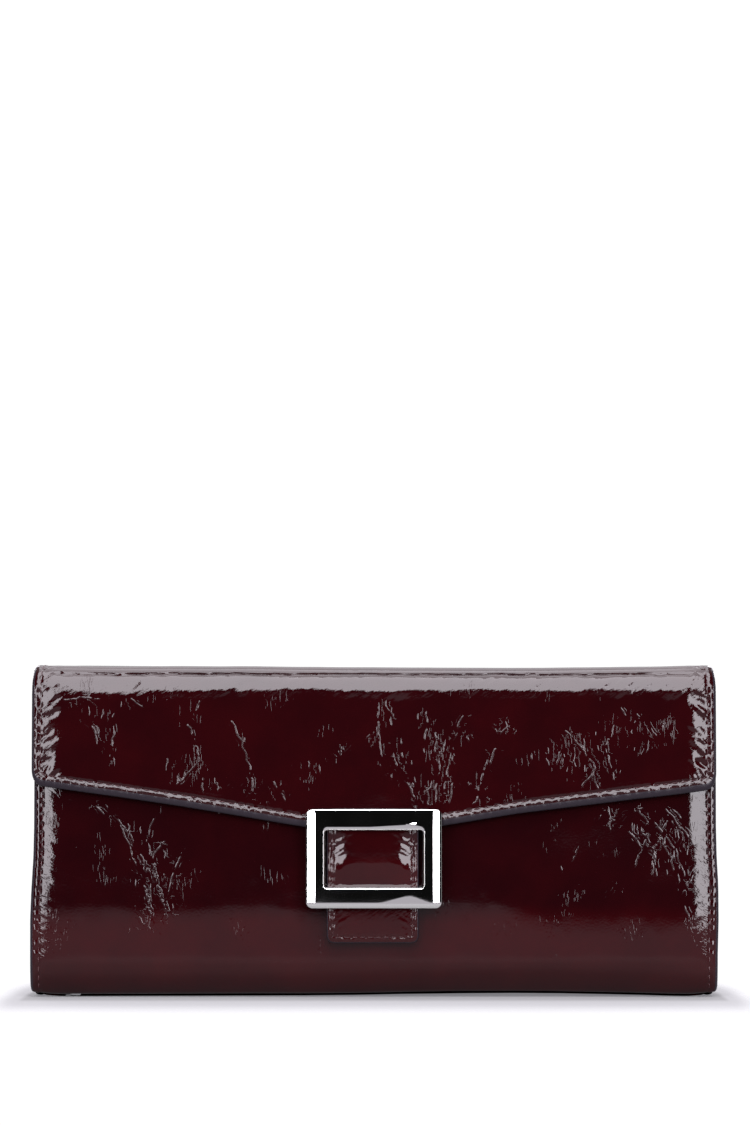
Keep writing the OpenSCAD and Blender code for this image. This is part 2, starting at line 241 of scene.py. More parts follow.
def patent_leather():
    """Glossy crinkled leather. "marks" holds how far each point is from a crease, how strong the
    crease is there, and how crinkled the leather is."""
    made, n = material("patent_leather")
    place = sheet_place(n)
    marks = n.add("ShaderNodeAttribute", attribute_name="marks").outputs["Vector"]
    gap, strong, crinkled = n.add("ShaderNodeSeparateXYZ", {0: marks}).outputs
    wander = n.math("SUBTRACT", n.noise(n.scale(place, 1, 0.6, 1), 0.5), 0.5)
    gap = n.plus(gap, n.times(wander, 0.9))
    # The crease itself, in dashes, with a fainter broken one on each side.
    dashes = n.span(n.noise(n.scale(place, 0.4, 0.2, 1), 1.0), 0.36, 0.62, 0.0, 1.25)
    height = n.times(n.span(n.math("ABSOLUTE", gap), 0.02, 0.26, 1.55, 0.0), dashes)
    for offset, size, seed in ((0.8, 0.5, 20.0), (-1.0, 0.45, 40.0)):
        aside = n.off(gap, offset)
        shifted = n.vector("ADD", n.scale(place, 0.4, 0.22, 1), (seed, 0, 0))
        broken = n.span(n.noise(shifted, 1.0), 0.47, 0.62)
        height = n.plus(height, n.times(n.span(aside, 0.02, 0.17, size, 0.0), broken))
    height = n.times(height, strong)
    streaks = n.noise(n.scale(place, 0.62, 0.13, 1), 1.0, 2.0, 0.6)
    streak = n.span(n.off(streaks, 0.5), 0.0, 0.03, 1.0, 0.0)
    patches = n.noise(place, 0.085, 3.0)
    height = n.plus(height, n.times(streak, n.span(patches, 0.54, 0.7, 0.0, 0.32)))
    creased = n.bump(height, 0.000036)
    gritty = n.noise(place, 1.1, 3.0, 0.6)
    turned_place = n.add("ShaderNodeVectorRotate", {"Vector": place, "Angle": math.radians(36)},
                         rotation_type="Z_AXIS").outputs[0]
    slanted = n.noise(n.scale(turned_place, 0.34, 1.25, 1), 1.0, 2.0, 0.55)
    ridges = n.plus(n.times(gritty, 0.5), n.times(slanted, 0.9))
    crisp = n.bump(n.times(ridges, crinkled), 0.00009, creased)
    pores = n.noise(place, 1.5, 2.0)
    surface = n.bump(pores, 0.000008, crisp)
    blotch = n.noise(place, 0.06, 4.0, 0.6)
    # Painted light: the painted_light layer mixes the base colour redder and lighter. It is a painted
    # reflection of the floor low on the front and on the tab, and a little painted light on the flap and
    # back.
    painted_light = n.add("ShaderNodeAttribute", attribute_name="painted_light").outputs["Fac"]
    dark = n.mix(painted_light, (0.0060, 0.0006, 0.0010), (0.0112, 0.0007, 0.0011))
    light = n.mix(painted_light, (0.0084, 0.0007, 0.0011), (0.0152, 0.0008, 0.0012))
    colour = n.mix(n.span(blotch, 0.3, 0.75), dark, light)
    finish_material(n, Base_Color=colour, Roughness=0.4, Normal=surface, Coat_Weight=1.0,
                    Coat_Roughness=0.04, Coat_IOR=1.35, Coat_Normal=surface, Specular_IOR_Level=0.0)
    return made


def edge_paint():
    """The dark paint on the leather's cut edges."""
    made, n = material("edge_paint")
    place = sheet_place(n)
    grain = n.noise(place, 1.0, 3.0)
    colour = n.mix(grain, (0.0055, 0.0036, 0.0062), (0.0095, 0.006, 0.0095))
    finish_material(n, Base_Color=colour, Roughness=0.32, Normal=n.bump(grain, 0.00003),
                    Specular_IOR_Level=0.27)
    return made


def grained_leather(name, dark, light, place_of):
    """Satin leather with fine pebbles."""
    made, n = material(name)
    place = place_of(n)
    cells = n.add("ShaderNodeTexVoronoi", {"Vector": place, "Scale": 1.5}, feature="DISTANCE_TO_EDGE")
    pebbles = n.span(cells.outputs["Distance"], 0.0, 0.16)
    drift = n.noise(place, 0.08, 3.0)
    colour = n.mix(n.span(drift, 0.3, 0.7), dark, light)
    surface = n.bump(pebbles, 0.00004, n.bump(n.noise(place, 0.3, 2.0), 0.00012))
    finish_material(n, Base_Color=colour, Roughness=0.42, Normal=surface, Specular_IOR_Level=0.45)
    return made


def woven(name, dark, light, place_of, thread=2.2):
    """Twill cloth, with threads this many to the millimetre."""
    made, n = material(name)
    place = place_of(n)
    across, along, deep = n.add("ShaderNodeSeparateXYZ", {0: place}).outputs
    up = n.plus(along, deep)
    turns = 2 * math.pi * thread
    warp = n.math("SINE", n.times(across, turns))
    weft = n.math("SINE", n.times(up, turns))
    twill = n.math("SINE", n.times(n.plus(across, up), turns / 2))
    cloth = n.plus(n.times(warp, weft), twill)
    colour = n.mix(n.span(cloth, -1.5, 1.5), dark, light)
    finish_material(n, Base_Color=colour, Roughness=0.85, Normal=n.bump(cloth, 0.00003),
                    Sheen_Weight=0.25, Sheen_Roughness=0.4)
    return made


def thread_material():
    """Dark red thread, with its ply."""
    made, n = material("thread")
    place = object_place(n)
    ply = n.add("ShaderNodeTexWave", {"Vector": place, "Scale": 1.6, "Distortion": 1.0})
    colour = n.mix(ply.outputs["Fac"], (0.016, 0.0012, 0.0025), (0.032, 0.003, 0.005))
    finish_material(n, Base_Color=colour, Roughness=0.45, Normal=n.bump(ply.outputs["Fac"], 0.00004))
    return made


def metal(name, colour, roughness, scratch):
    """Polished metal, smudged and finely scratched to this depth in metres."""
    made, n = material(name)
    place = object_place(n)
    smudge = n.noise(place, 0.12, 3.0)
    rough = n.span(smudge, 0.3, 0.8, roughness, roughness * 2.2)
    fine = n.noise(n.scale(place, 0.6, 3.0, 3.0), 2.0, 3.0)
    finish_material(n, Base_Color=(*colour, 1.0), Metallic=1.0, Roughness=rough,
                    Normal=n.bump(fine, scratch))
    return made


def board_material():
    """Grey stiffening board."""
    made, n = material("board")
    grain = n.noise(object_place(n), 1.5, 4.0)
    finish_material(n, Base_Color=n.mix(grain, (0.20, 0.17, 0.14), (0.32, 0.28, 0.24)), Roughness=0.9,
                    Normal=n.bump(grain, 0.00004))
    return made


PATENT = patent_leather()
EDGE = edge_paint()
WINE = ((0.035, 0.004, 0.008), (0.062, 0.007, 0.013))
WINE_CLOTH = ((0.03, 0.004, 0.008), (0.075, 0.011, 0.02))
INNER = grained_leather("inner_leather", *WINE, sheet_place)
POCKET = grained_leather("pocket_leather", *WINE, object_place)
LINING = woven("lining_cloth", *WINE_CLOTH, sheet_place)
BAG = woven("bag_cloth", *WINE_CLOTH, object_place)
TAPE = woven("zip_tape_cloth", (0.025, 0.003, 0.006), (0.06, 0.008, 0.014), object_place, thread=1.6)
THREAD = thread_material()
BUCKLE = metal("buckle_metal", (0.60, 0.60, 0.585), 0.025, 0.0000015)
NICKEL = metal("nickel", (0.66, 0.65, 0.62), 0.12, 0.000006)
BOARD = board_material()


# ---------------------------------------------------------------- sheets on curves
def arc(cy, cz, ry, rz, start, end):
    """Points along part of an ellipse in the side view, with its angles in degrees."""
    angles = np.radians(np.linspace(start, end, 80))
    return np.c_[cy + ry * np.cos(angles), cz + rz * np.sin(angles)]


def line(a, b):
    """Points along a straight stretch, half a millimetre apart."""
    return np.linspace(a, b, max(2, int(math.dist(a, b) * 2)))


class Path:
    """A sheet's side view, followed by its length s. Its face is on the left going up the front."""

    def __init__(self, *pieces, flip=1, warp=None):
        self.warp = warp
        points = np.vstack(pieces)
        steps = np.hypot(*np.diff(points, axis=0).T)
        points = points[np.r_[True, steps > 1e-6]]
        steps = np.hypot(*np.diff(points, axis=0).T)
        self.s = np.r_[0, np.cumsum(steps)]
        tangent = np.gradient(points, self.s, axis=0)
        tangent /= np.linalg.norm(tangent, axis=1)[:, None]
        self.points, self.flip = points, flip
        self.normal = flip * np.c_[tangent[:, 1], -tangent[:, 0]]
        self.tangent = tangent
        self.length = self.s[-1]

    def place(self, x, s, h):
        """Points in space, from where they are on the flat sheet and their height over it."""
        if self.warp:
            x, s = self.warp(x, s)
        past = s - np.clip(s, 0, self.length)
        y, z, ny, nz, ty, tz = (np.interp(s, self.s, column) for column in
                                (*self.points.T, *self.normal.T, *self.tangent.T))
        return np.stack([x + 0 * s, y + ny * h + ty * past, z + nz * h + tz * past], axis=-1)

    def s_at(self, z):
        """The length at which the path's first half comes nearest height z."""
        half = len(self.points) // 2
        return self.s[np.argmin(np.abs(self.points[:half, 1] - z))]


def make(name, points, faces, materials, index=None, attributes=()):
    """A mesh object from arrays of points and four-sided faces."""
    mesh = bpy.data.meshes.new(name)
    mesh.vertices.add(len(points))
    mesh.vertices.foreach_set("co", (np.asarray(points, float) * MM).astype(np.float32).ravel())
    faces = np.asarray(faces, np.int32)
    mesh.loops.add(faces.size)
    mesh.loops.foreach_set("vertex_index", faces.ravel())
    mesh.polygons.add(len(faces))
    mesh.polygons.foreach_set("loop_start", np.arange(len(faces), dtype=np.int32) * faces.shape[1])
    for each in materials:
        mesh.materials.append(each)
    if index is not None:
        mesh.polygons.foreach_set("material_index", np.asarray(index, np.int32))
    mesh.polygons.foreach_set("use_smooth", np.ones(len(faces), bool))
    mesh.update(calc_edges=True)
    for key, values in dict(attributes).items():
        values = np.asarray(values, np.float32)
        kind = "FLOAT_VECTOR" if values.ndim == 2 else "FLOAT"
        layer = mesh.attributes.new(key, kind, "POINT")
        layer.data.foreach_set("vector" if values.ndim == 2 else "value", values.ravel())
    obj = bpy.data.objects.new(name, mesh)
    bpy.context.scene.collection.objects.link(obj)
    return obj


def axis_steps(low, high, fine, coarse, band_low, band_high):
    """Positions from low to high, close together within a band of each end."""
    a = np.arange(low, low + band_low, fine)
    b = np.arange(high, high - band_high, -fine)[::-1]
    between = high - low - band_low - band_high
    middle = np.linspace(low + band_low, high - band_high, max(2, round(between / coarse)))
    return np.unique(np.round(np.r_[a, middle, b], 5))


def across_steps(half, fine, coarse, band):
    """Positions across a panel, the same on both sides."""
    return axis_steps(-half, half, fine, coarse, band, band)


def ring_faces(rings, count):
    """Four-sided faces between rings of points, each ring closed on itself."""
    a, i = np.meshgrid(np.arange(rings - 1) * count, np.arange(count), indexing="ij")
    j = (i + 1) % count
    return np.stack([a + i, a + j, a + count + j, a + count + i], -1).reshape(-1, 4)


def even(value):
    """A function of position that is the same everywhere."""
    return lambda place: np.full_like(place, value)


RIM_TURN = np.radians([10, 24, 40, 58, 78, 100, 122, 145, 165, 180])
# Painted light on the flap and back: their base colour is painted a little redder and lighter than the
# front's middle, to match how the light falls on them.
FAINT_PAINTED_LIGHT = 0.3


def outward(x, s):
    """Which way leads out of a sheet, at each point along its border."""
    step_x, step_s = np.gradient(x), np.gradient(s)
    size = np.hypot(step_x, step_s) + 1e-9
    out_x, out_s = -step_s / size, step_x / size
    for end in (0, -1):
        out_x[end], out_s[end] = math.copysign(1, out_x[end]), 0.0
    return out_x, out_s


class Panel:
    """A flat sheet laid on a path. reach(x) is its far edge, side(s) its half width, and limit(x)
    its far outline with the corners rounded, all for the leather inside the edge's own width. The
    offset keeps this sheet's pattern apart from the others'."""

    def __init__(self, path, start, reach, side, limit=None, offset=0.0):
        self.path, self.start, self.reach, self.side = path, start, reach, side
        self.limit = limit or reach
        self.offset = offset

    def grid(self, columns, rows):
        """Columns that keep to the outline, on rows that run from the start to the far edge."""
        widest = np.abs(columns).max()
        rows = rows / rows[-1]
        across = np.linspace(0, widest, 4000)
        x, s = [], []
        for part in rows:
            down = self.start + part * (self.reach(across) - self.start)
            fits = (down <= self.limit(across) + 1e-6) & (across <= self.side(down) + 1e-6)
            half = across[fits].max()
            row = columns * (half / widest)
            x.append(row)
            s.append(self.start + part * (self.reach(np.abs(row)) - self.start))
        return np.array(x), np.array(s)

    def build(self, name, columns, rows, height, materials, level=0.0, facing=1, thickness=COVER_T,
              rim_side=0.9, rim_end=0.9, lip=1.6, ends=True, marks=None, painted_light=None):
        """The sheet as a mesh: its face, then its edge turned round to the back. The edge is
        rim_side or rim_end wide, and lip reaches in behind. ends=False leaves the far end open."""
        x, s = self.grid(columns, rows)
        h = height(x, s)
        ids = np.arange(x.size).reshape(x.shape)
        faces = [np.stack([ids[:-1, :-1], ids[1:, :-1], ids[1:, 1:], ids[:-1, 1:]], -1).reshape(-1, 4)]
        loops = [ids[:, 0], ids[::-1, -1]]
        if ends:
            loops = [np.r_[ids[:, 0], ids[-1, 1:], ids[-2::-1, -1]]]
        xs, ss, hs = [x.ravel()], [s.ravel()], [h.ravel()]
        index = [np.zeros(len(faces[0]), int)]
        total = x.size
        turns = [(math.sin(a), (1 - math.cos(a)) / 2) for a in RIM_TURN] + [(-lip, 1.0)]
        for loop in loops:
            border_x, border_s, border_h = x.ravel()[loop], s.ravel()[loop], h.ravel()[loop]
            out_x, out_s = outward(border_x, border_s)
            wide = rim_side * np.abs(out_x) ** 2 + rim_end * np.abs(out_s) ** 2
            previous = loop
            for step, (out, down) in enumerate(turns):
                reach_out = wide * out if out >= 0 else np.full_like(wide, out)
                ring = total + np.arange(len(loop))
                xs.append(border_x + out_x * reach_out)
                ss.append(border_s + out_s * reach_out)
                hs.append(border_h - thickness * down)
                quads = np.stack([previous[:-1], ring[:-1], ring[1:], previous[1:]], -1)
                faces.append(quads)
                index.append(np.full(len(quads), 0 if step < 1 else 1))
                previous = ring
                total += len(loop)
        x, s, h = (np.concatenate(part) for part in (xs, ss, hs))
        points = self.path.place(x, s, level + facing * h)
        faces = np.vstack(faces)
        if facing * self.path.flip < 0:
            faces = faces[:, ::-1]
        sheet = np.c_[x, s + self.offset, np.zeros_like(x)]
        # The painted_light layer carries the painted light for the patent leather's base colour.
        layers = {"sheet": sheet, "marks": marks(x, s) if marks else 0 * sheet,
                  "painted_light": painted_light(x, s) if painted_light else np.full(len(x), FAINT_PAINTED_LIGHT)}
        return make(name, points, faces, materials, np.concatenate(index), layers)


def flat(x, s):
    """No height anywhere."""
    return np.zeros_like(x + s)


def smooth(t):
    """0 to 1 as t goes from 0 to 1, easing in and out."""
    t = np.clip(t, 0, 1)
    return t * t * (3 - 2 * t)


def fading(distance, width):
    """1 at no distance, falling away like a bell."""
    return np.exp(-(distance / width) ** 2)


def lattice_noise(x, y, seed):
    """Smooth noise of about unit size, with a feature to each unit."""
    table = np.random.default_rng(seed).standard_normal((128, 128))
    fx, fy = np.floor(x).astype(int), np.floor(y).astype(int)
    tx, ty = x - fx, y - fy
    tx, ty = (t * t * t * (t * (6 * t - 15) + 10) for t in (tx, ty))
    a, b = table[fx % 128, fy % 128], table[(fx + 1) % 128, fy % 128]
    c, d = table[fx % 128, (fy + 1) % 128], table[(fx + 1) % 128, (fy + 1) % 128]
    return (a * (1 - tx) + b * tx) * (1 - ty) + (c * (1 - tx) + d * tx) * ty


def undulation(x, s, seed):
    """The slow unevenness of soft leather."""
    large = lattice_noise(x / 26, s / 20, seed)
    medium = lattice_noise(x / 9, s / 11, seed + 1)
    small = lattice_noise(x / 2.6, s / 3.6, seed + 2)
    return 0.075 * large + 0.022 * medium + 0.0045 * small


def near_strokes(x, s, strokes):
    """Signed distance from the nearest stroke, and its strength, fading out away from it."""
    best = np.full(x.shape, 50.0)
    strength = np.zeros(x.shape)
    for strong, stroke in strokes:
        stroke = np.asarray(stroke)
        run = np.r_[0, np.cumsum(np.hypot(*np.diff(stroke, axis=0).T))]
        near = ((x > stroke[:, 0].min() - 4) & (x < stroke[:, 0].max() + 4)
                & (s > stroke[:, 1].min() - 4) & (s < stroke[:, 1].max() + 4))
        if not near.any():
            continue
        px, ps = x[near], s[near]
        gap, at = np.full(px.shape, 50.0), np.zeros(px.shape)
        for (x0, s0), (x1, s1), start in zip(stroke, stroke[1:], run):
            dx, ds = x1 - x0, s1 - s0
            size = math.hypot(dx, ds) + 1e-9
            t = np.clip(((px - x0) * dx + (ps - s0) * ds) / size ** 2, 0, 1)
            away = np.hypot(px - x0 - t * dx, ps - s0 - t * ds)
            sign = np.where((px - x0) * ds - (ps - s0) * dx > 0, 1, -1)
            closer = away < np.abs(gap)
            gap = np.where(closer, sign * away, gap)
            at = np.where(closer, start + t * size, at)
        ends = np.clip(np.minimum(at, run[-1] - at) / 1.5, 0, 1)
        closer = np.abs(gap) < np.abs(best[near])
        best[near] = np.where(closer, gap, best[near])
        strength[near] = np.where(closer, strong * ends * fading(gap, 1.6), strength[near])
    return best, strength


def wandering(strokes, seed, to_s):
    """The strokes in sheet lengths, each broken into short crooked steps, with faint short ones
    scattered beside it. Each comes with its strength."""
    rng = np.random.default_rng(seed)
    result = []
    for stroke in strokes:
        points = [(x, to_s(z)) for x, z in stroke]
        crooked = []
        for a, b in zip(points, points[1:]):
            count = max(2, int(math.dist(a, b) / 1.6))
            for t in np.linspace(0, 1, count, endpoint=False):
                crooked.append((a[0] + t * (b[0] - a[0]) + rng.normal(0, 0.3),
                                a[1] + t * (b[1] - a[1]) + rng.normal(0, 0.2)))
        crooked.append(points[-1])
        result.append((rng.uniform(0.75, 1.1), crooked))
        for _ in range(1 + int(math.dist(points[0], points[-1]) / 7)):
            t, length, lean = rng.uniform(0, 1), rng.uniform(1.2, 4.0), rng.normal(0, 0.35)
            (first_x, first_s), (last_x, last_s) = points[0], points[-1]
            x = first_x + t * (last_x - first_x) + rng.choice((-1, 1)) * rng.uniform(1.8, 5.0)
            s = first_s + t * (last_s - first_s) + rng.normal(0, 2.0)
            aside, ahead = length * math.sin(lean) / 2, length * math.cos(lean) / 2
            short = [(x - aside, s - ahead), (x + rng.normal(0, 0.3), s), (x + aside, s + ahead)]
            result.append((rng.uniform(0.5, 0.72), short))
    return result


FLAP_CREASES = [
    [(-53.3, 78.7), (-49.8, 71.2), (-49.5, 66.3), (-56.7, 58.4)], [(-49.1, 84.3), (-50.4, 80.5)],
    [(-40.9, 79.4), (-37.4, 71.9), (-34.0, 61.5), (-34.7, 55.3)],
    [(-81.5, 79.4), (-78.8, 75.0), (-78.2, 71.2)], [(-69.8, 85.3), (-65.0, 82.2)],
    [(-48.1, 62.9), (-48.1, 57.4)], [(-45.0, 62.2), (-44.3, 57.4)], [(-9.9, 71.2), (-9.5, 65.7)],
    [(-18.1, 67.0), (-18.1, 62.9)], [(-28.5, 62.2), (-27.1, 58.1), (-25.0, 55.3)],
    [(-31.2, 57.4), (-29.8, 53.9)], [(-88.4, 84.3), (-82.9, 84.9), (-77.4, 84.4)],
    [(-73.2, 80.8), (-73.9, 72.5), (-73.2, 64.3)], [(-58.1, 68.4), (-58.8, 61.5)],
    [(1.4, 84.4), (1.6, 73.4), (2.4, 64.0)], [(4.4, 70.0), (7.4, 64.0), (10.8, 57.2)],
    [(15.0, 81.9), (14.6, 72.5)], [(17.6, 75.9), (17.2, 67.4)],
    [(21.0, 75.9), (18.4, 65.7), (17.2, 53.8)], [(24.0, 75.9), (21.0, 65.7), (19.7, 58.0)],
    [(25.7, 80.6), (23.6, 75.9)], [(32.1, 67.4), (29.5, 57.2), (27.8, 53.8)],
    [(37.6, 80.2), (35.9, 72.5)], [(39.3, 77.6), (38.5, 73.4)],
    [(51.7, 74.2), (52.9, 70.8), (51.2, 63.1)], [(55.9, 74.2), (57.2, 64.8)],
    [(54.2, 75.9), (58.5, 70.8), (62.7, 64.8), (58.5, 58.9)], [(62.7, 75.9), (64.0, 67.4)],
    [(68.3, 77.6), (65.7, 71.7), (67.4, 61.4)], [(74.7, 80.6), (80.6, 73.4)],
    [(78.1, 72.5), (75.5, 67.4)], [(7.8, 73.4), (8.0, 67.4)], [(10.8, 63.1), (11.2, 54.6)],
    [(15.9, 61.4), (15.0, 53.8)], [(22.3, 60.6), (21.0, 53.8)], [(44.4, 70.8), (44.7, 66.5)],
    [(32.9, 65.7), (34.6, 70.8)], [(69.6, 82.7), (71.3, 79.3)], [(61.0, 64.0), (63.6, 58.9)],
    [(-9.7, 71.7), (-9.7, 65.7)], [(-18.2, 67.4), (-18.4, 64.0)], [(3.1, 84.4), (5.0, 75.9)]]
BODY_CREASES = [
    [(-79.4, 56.0), (-76.0, 50.5)],
    [(-76.0, 55.3), (-73.9, 51.9), (-69.1, 46.4), (-65.0, 38.1), (-58.8, 27.1), (-57.4, 21.6)],
    [(-73.9, 54.6), (-71.9, 49.1), (-67.7, 39.5), (-65.0, 31.9), (-63.6, 25.7)],
    [(-62.2, 51.9), (-64.3, 44.3), (-62.2, 35.3), (-63.6, 27.1), (-62.9, 18.8)],
    [(-53.3, 42.9), (-56.7, 36.0), (-58.8, 28.5), (-59.5, 20.2)],
    [(-62.2, 32.6), (-59.5, 27.1), (-56.7, 20.9)], [(-65.0, 29.8), (-62.2, 24.3), (-61.5, 17.4)],
    [(-58.8, 45.0), (-62.2, 40.9), (-61.5, 32.6)], [(-88.4, 56.7), (-85.6, 56.0)],
    [(-67.7, 24.3), (-65.0, 18.8)], [(76.4, 53.8), (71.3, 52.1), (66.2, 49.5)],
    [(79.8, 50.4), (74.7, 40.1), (73.8, 36.7)], [(83.2, 50.4), (79.8, 43.5), (78.1, 36.7)],
    [(86.6, 48.6), (84.1, 38.4), (84.9, 33.3)], [(81.5, 53.8), (87.5, 46.9), (90.9, 41.8)],
    [(78.1, 50.4), (84.9, 41.8), (87.5, 34.2)], [(71.3, 46.9), (76.4, 41.8)],
    [(90.9, 36.7), (86.6, 29.1)], [(73.8, 53.8), (80.6, 46.9), (83.2, 40.1)],
    [(66.2, 53.8), (67.0, 46.9)], [(58.5, 43.5), (55.9, 38.4)], [(67.9, 31.6), (65.3, 28.2)],
    [(84.1, 53.8), (86.6, 50.4)], [(87.5, 26.5), (90.0, 18.0)],
    [(75.5, 48.6), (78.9, 41.8), (79.8, 34.2)]]


def border(gap, along, to_side, to_end=None, stitch_in=STITCH_IN, stitch_end=1.0, side=(0.42, 6.5),
           end=(0.05, 1.2), rough=0.022):
    """Height of leather near its edge: rolled over, drawn in along the stitches, then rising.
    side and end say how far it rises, and over what width. rough is the depth of its crinkles."""
    roll = 0.1 * np.clip(1 - gap / 0.4, 0, 1) ** 2
    h = -roll * (1 if to_end is None else np.where(to_side < to_end, 1, 0.25))
    h -= side[0] * np.clip(1 - (to_side - stitch_in) / side[1], 0, 1) ** 2
    stitch = stitch_in
    if to_end is not None:
        h -= end[0] * np.clip(1 - (to_end - stitch_end) / end[1], 0, 1) ** 2
        stitch = np.where(to_end < to_side, stitch_end, stitch_in)
    pull = 0.55 + 0.45 * np.cos(2 * math.pi * along / PITCH) + 0.3 * lattice_noise(along / 2.1, gap, 53)
    h -= 0.15 * fading(gap - stitch, 0.36) * pull
    drift = 1.5 * lattice_noise(along / 5, 0 * gap, 54)
    puffed = 0.5 - 0.5 * np.cos(2 * math.pi * along / PITCH + drift)
    h += 0.085 * fading(gap - stitch / 2, 0.42) * puffed
    lean = along + 0.4 * gap
    crinkle = lattice_noise(gap / 3.6 + 40, lean / 1.1 + 40, 51)
    crinkle += 0.5 * lattice_noise(gap / 1.1, lean / 0.7, 52)
    return h + rough * crinkle * fading(to_side - 2.8, 3.0)


def rounded_min(a, b, radius):
    """The smaller of two distances, with a round corner where both are small."""
    corner = radius - np.hypot(np.clip(radius - a, 0, None), np.clip(radius - b, 0, None))
    return np.where((a < radius) & (b < radius), corner, np.minimum(a, b))


def stitches(name, path, rows, height, length=1.9, radius=THREAD_R, pitch=PITCH):
    """Thread along lines on a sheet, one rounded stitch to each pitch."""
    ring = np.radians(np.arange(6) * 60)
    along = np.array([-0.5, -0.42, -0.2, 0.2, 0.42, 0.5])
    fat = np.array([0.25, 0.85, 1.0, 1.0, 0.85, 0.25])[:, None, None]
    lift = np.array([-0.16, 0.0, 0.1, 0.1, 0.0, -0.16])
    tubes = []
    for row in rows:
        row = np.asarray(row, float)
        run = np.r_[0, np.cumsum(np.hypot(*np.diff(row, axis=0).T))]
        for centre in np.arange(pitch / 2, run[-1], pitch):
            x, s = (np.interp(centre + along * length, run, column) for column in row.T)
            h = height(x, s) + lift
            spine = path.place(x, s, h)
            above = path.place(x, s, h + 1) - spine
            ahead = np.gradient(spine, axis=0)
            ahead /= np.linalg.norm(ahead, axis=1)[:, None]
            aside = np.cross(above, ahead)
            round_it = (np.cos(ring)[None, :, None] * above[:, None]
                        + np.sin(ring)[None, :, None] * aside[:, None])
            tubes.append((spine[:, None] + radius * fat * round_it).reshape(-1, 3))
    tube_faces = ring_faces(len(along), len(ring))
    faces = [tube_faces + k * len(along) * len(ring) for k in range(len(tubes))]
    return make(name, np.vstack(tubes), np.vstack(faces), [THREAD])


# ---------------------------------------------------------------- flap and top
FLAP_FOLD = 8.0  # how far down the front the fold reaches
FLAP_FOLD_Z = Z_TOP - FLAP_FOLD
TOP_CREASE_Z = 92.1
# How far the flap's lower edge strays from straight, upwards, along the wallet.
EDGE_X = [-97, -84, -72, -55, -38, -24, -12, 12, 24, 41, 58, 75, 87, 97]
EDGE_UP = [0.35, 0.45, 0.6, 0.62, 0.4, 0.12, 0.1, 0.35, 0.46, 0.66, 0.15, -0.35, -0.85, -1.0]


def flap_warp(x, s):
    """The lower edge strays a little."""
    return x, s - np.interp(x, EDGE_X, EDGE_UP) * smooth((s - FOLD_END) / 34)


flap_path = Path(line((TOP_MIDDLE, Z_TOP), (Y_FLAP + FOLD_R, Z_TOP)),
                 arc(Y_FLAP + FOLD_R, FLAP_FOLD_Z, FOLD_R, FLAP_FOLD, 90, 180),
                 line((Y_FLAP, FLAP_FOLD_Z), (Y_FLAP, FLAP_LOW - 8)), warp=flap_warp)
FOLD_END = flap_path.length - (FLAP_FOLD_Z - (FLAP_LOW - 8))


def flap_s(z):
    """The length along the flap at height z below the fold."""
    return FOLD_END + FLAP_FOLD_Z - z


def top_sag(x):
    """The top dips a little, most of all right of the middle."""
    return np.interp(x, [-97, -89, -72, -55, -38, -21, 13, 30, 47, 64, 81, 92, 97],
                     [0.05, 0.1, 0.24, 0.44, 0.64, 0.88, 1.0, 1.06, 1.08, 0.9, 0.7, 0.4, 0.3])


FLAP_R = 4.5  # the flap's lower corners


def flap_outline(inset_side, inset_end):
    """reach, side and limit of the flap's outline, drawn in by the insets."""
    half = FLAP_HALF - inset_side
    radius = max(FLAP_R - (inset_side + inset_end) / 2, 1.2)
    middle = flap_s(FLAP_LOW) - inset_end / math.cos(SLOPE)
    centre_x = half - radius
    centre_s = middle - centre_x * math.tan(SLOPE) - radius / math.cos(SLOPE)

    def reach(x):
        return middle - np.abs(x) * math.tan(SLOPE)

    def limit(x):
        x = np.abs(x)
        turn = centre_s + np.sqrt(np.clip(radius ** 2 - np.clip(x - centre_x, 0, None) ** 2, 0, None))
        return np.where(x > centre_x + radius * math.sin(SLOPE), turn, reach(x))

    return reach, lambda s: half - 0.9 * smooth((FOLD_END - s) / (FOLD_END - 2)), limit


RIM_SIDE, RIM_END = 0.9, 2.3
flap_creases = wandering(FLAP_CREASES, 5, flap_s)
CREASE_S = flap_path.s_at(TOP_CREASE_Z)


def flap_gap(x, s):
    """Distances to the nearest edge, to the side and to the lower edge."""
    reach, side, _ = flap_outline(RIM_SIDE, RIM_END)
    to_side, to_end = side(s) - np.abs(x), (reach(x) - s) * math.cos(SLOPE)
    return rounded_min(to_side, to_end, 3.5), to_side, to_end


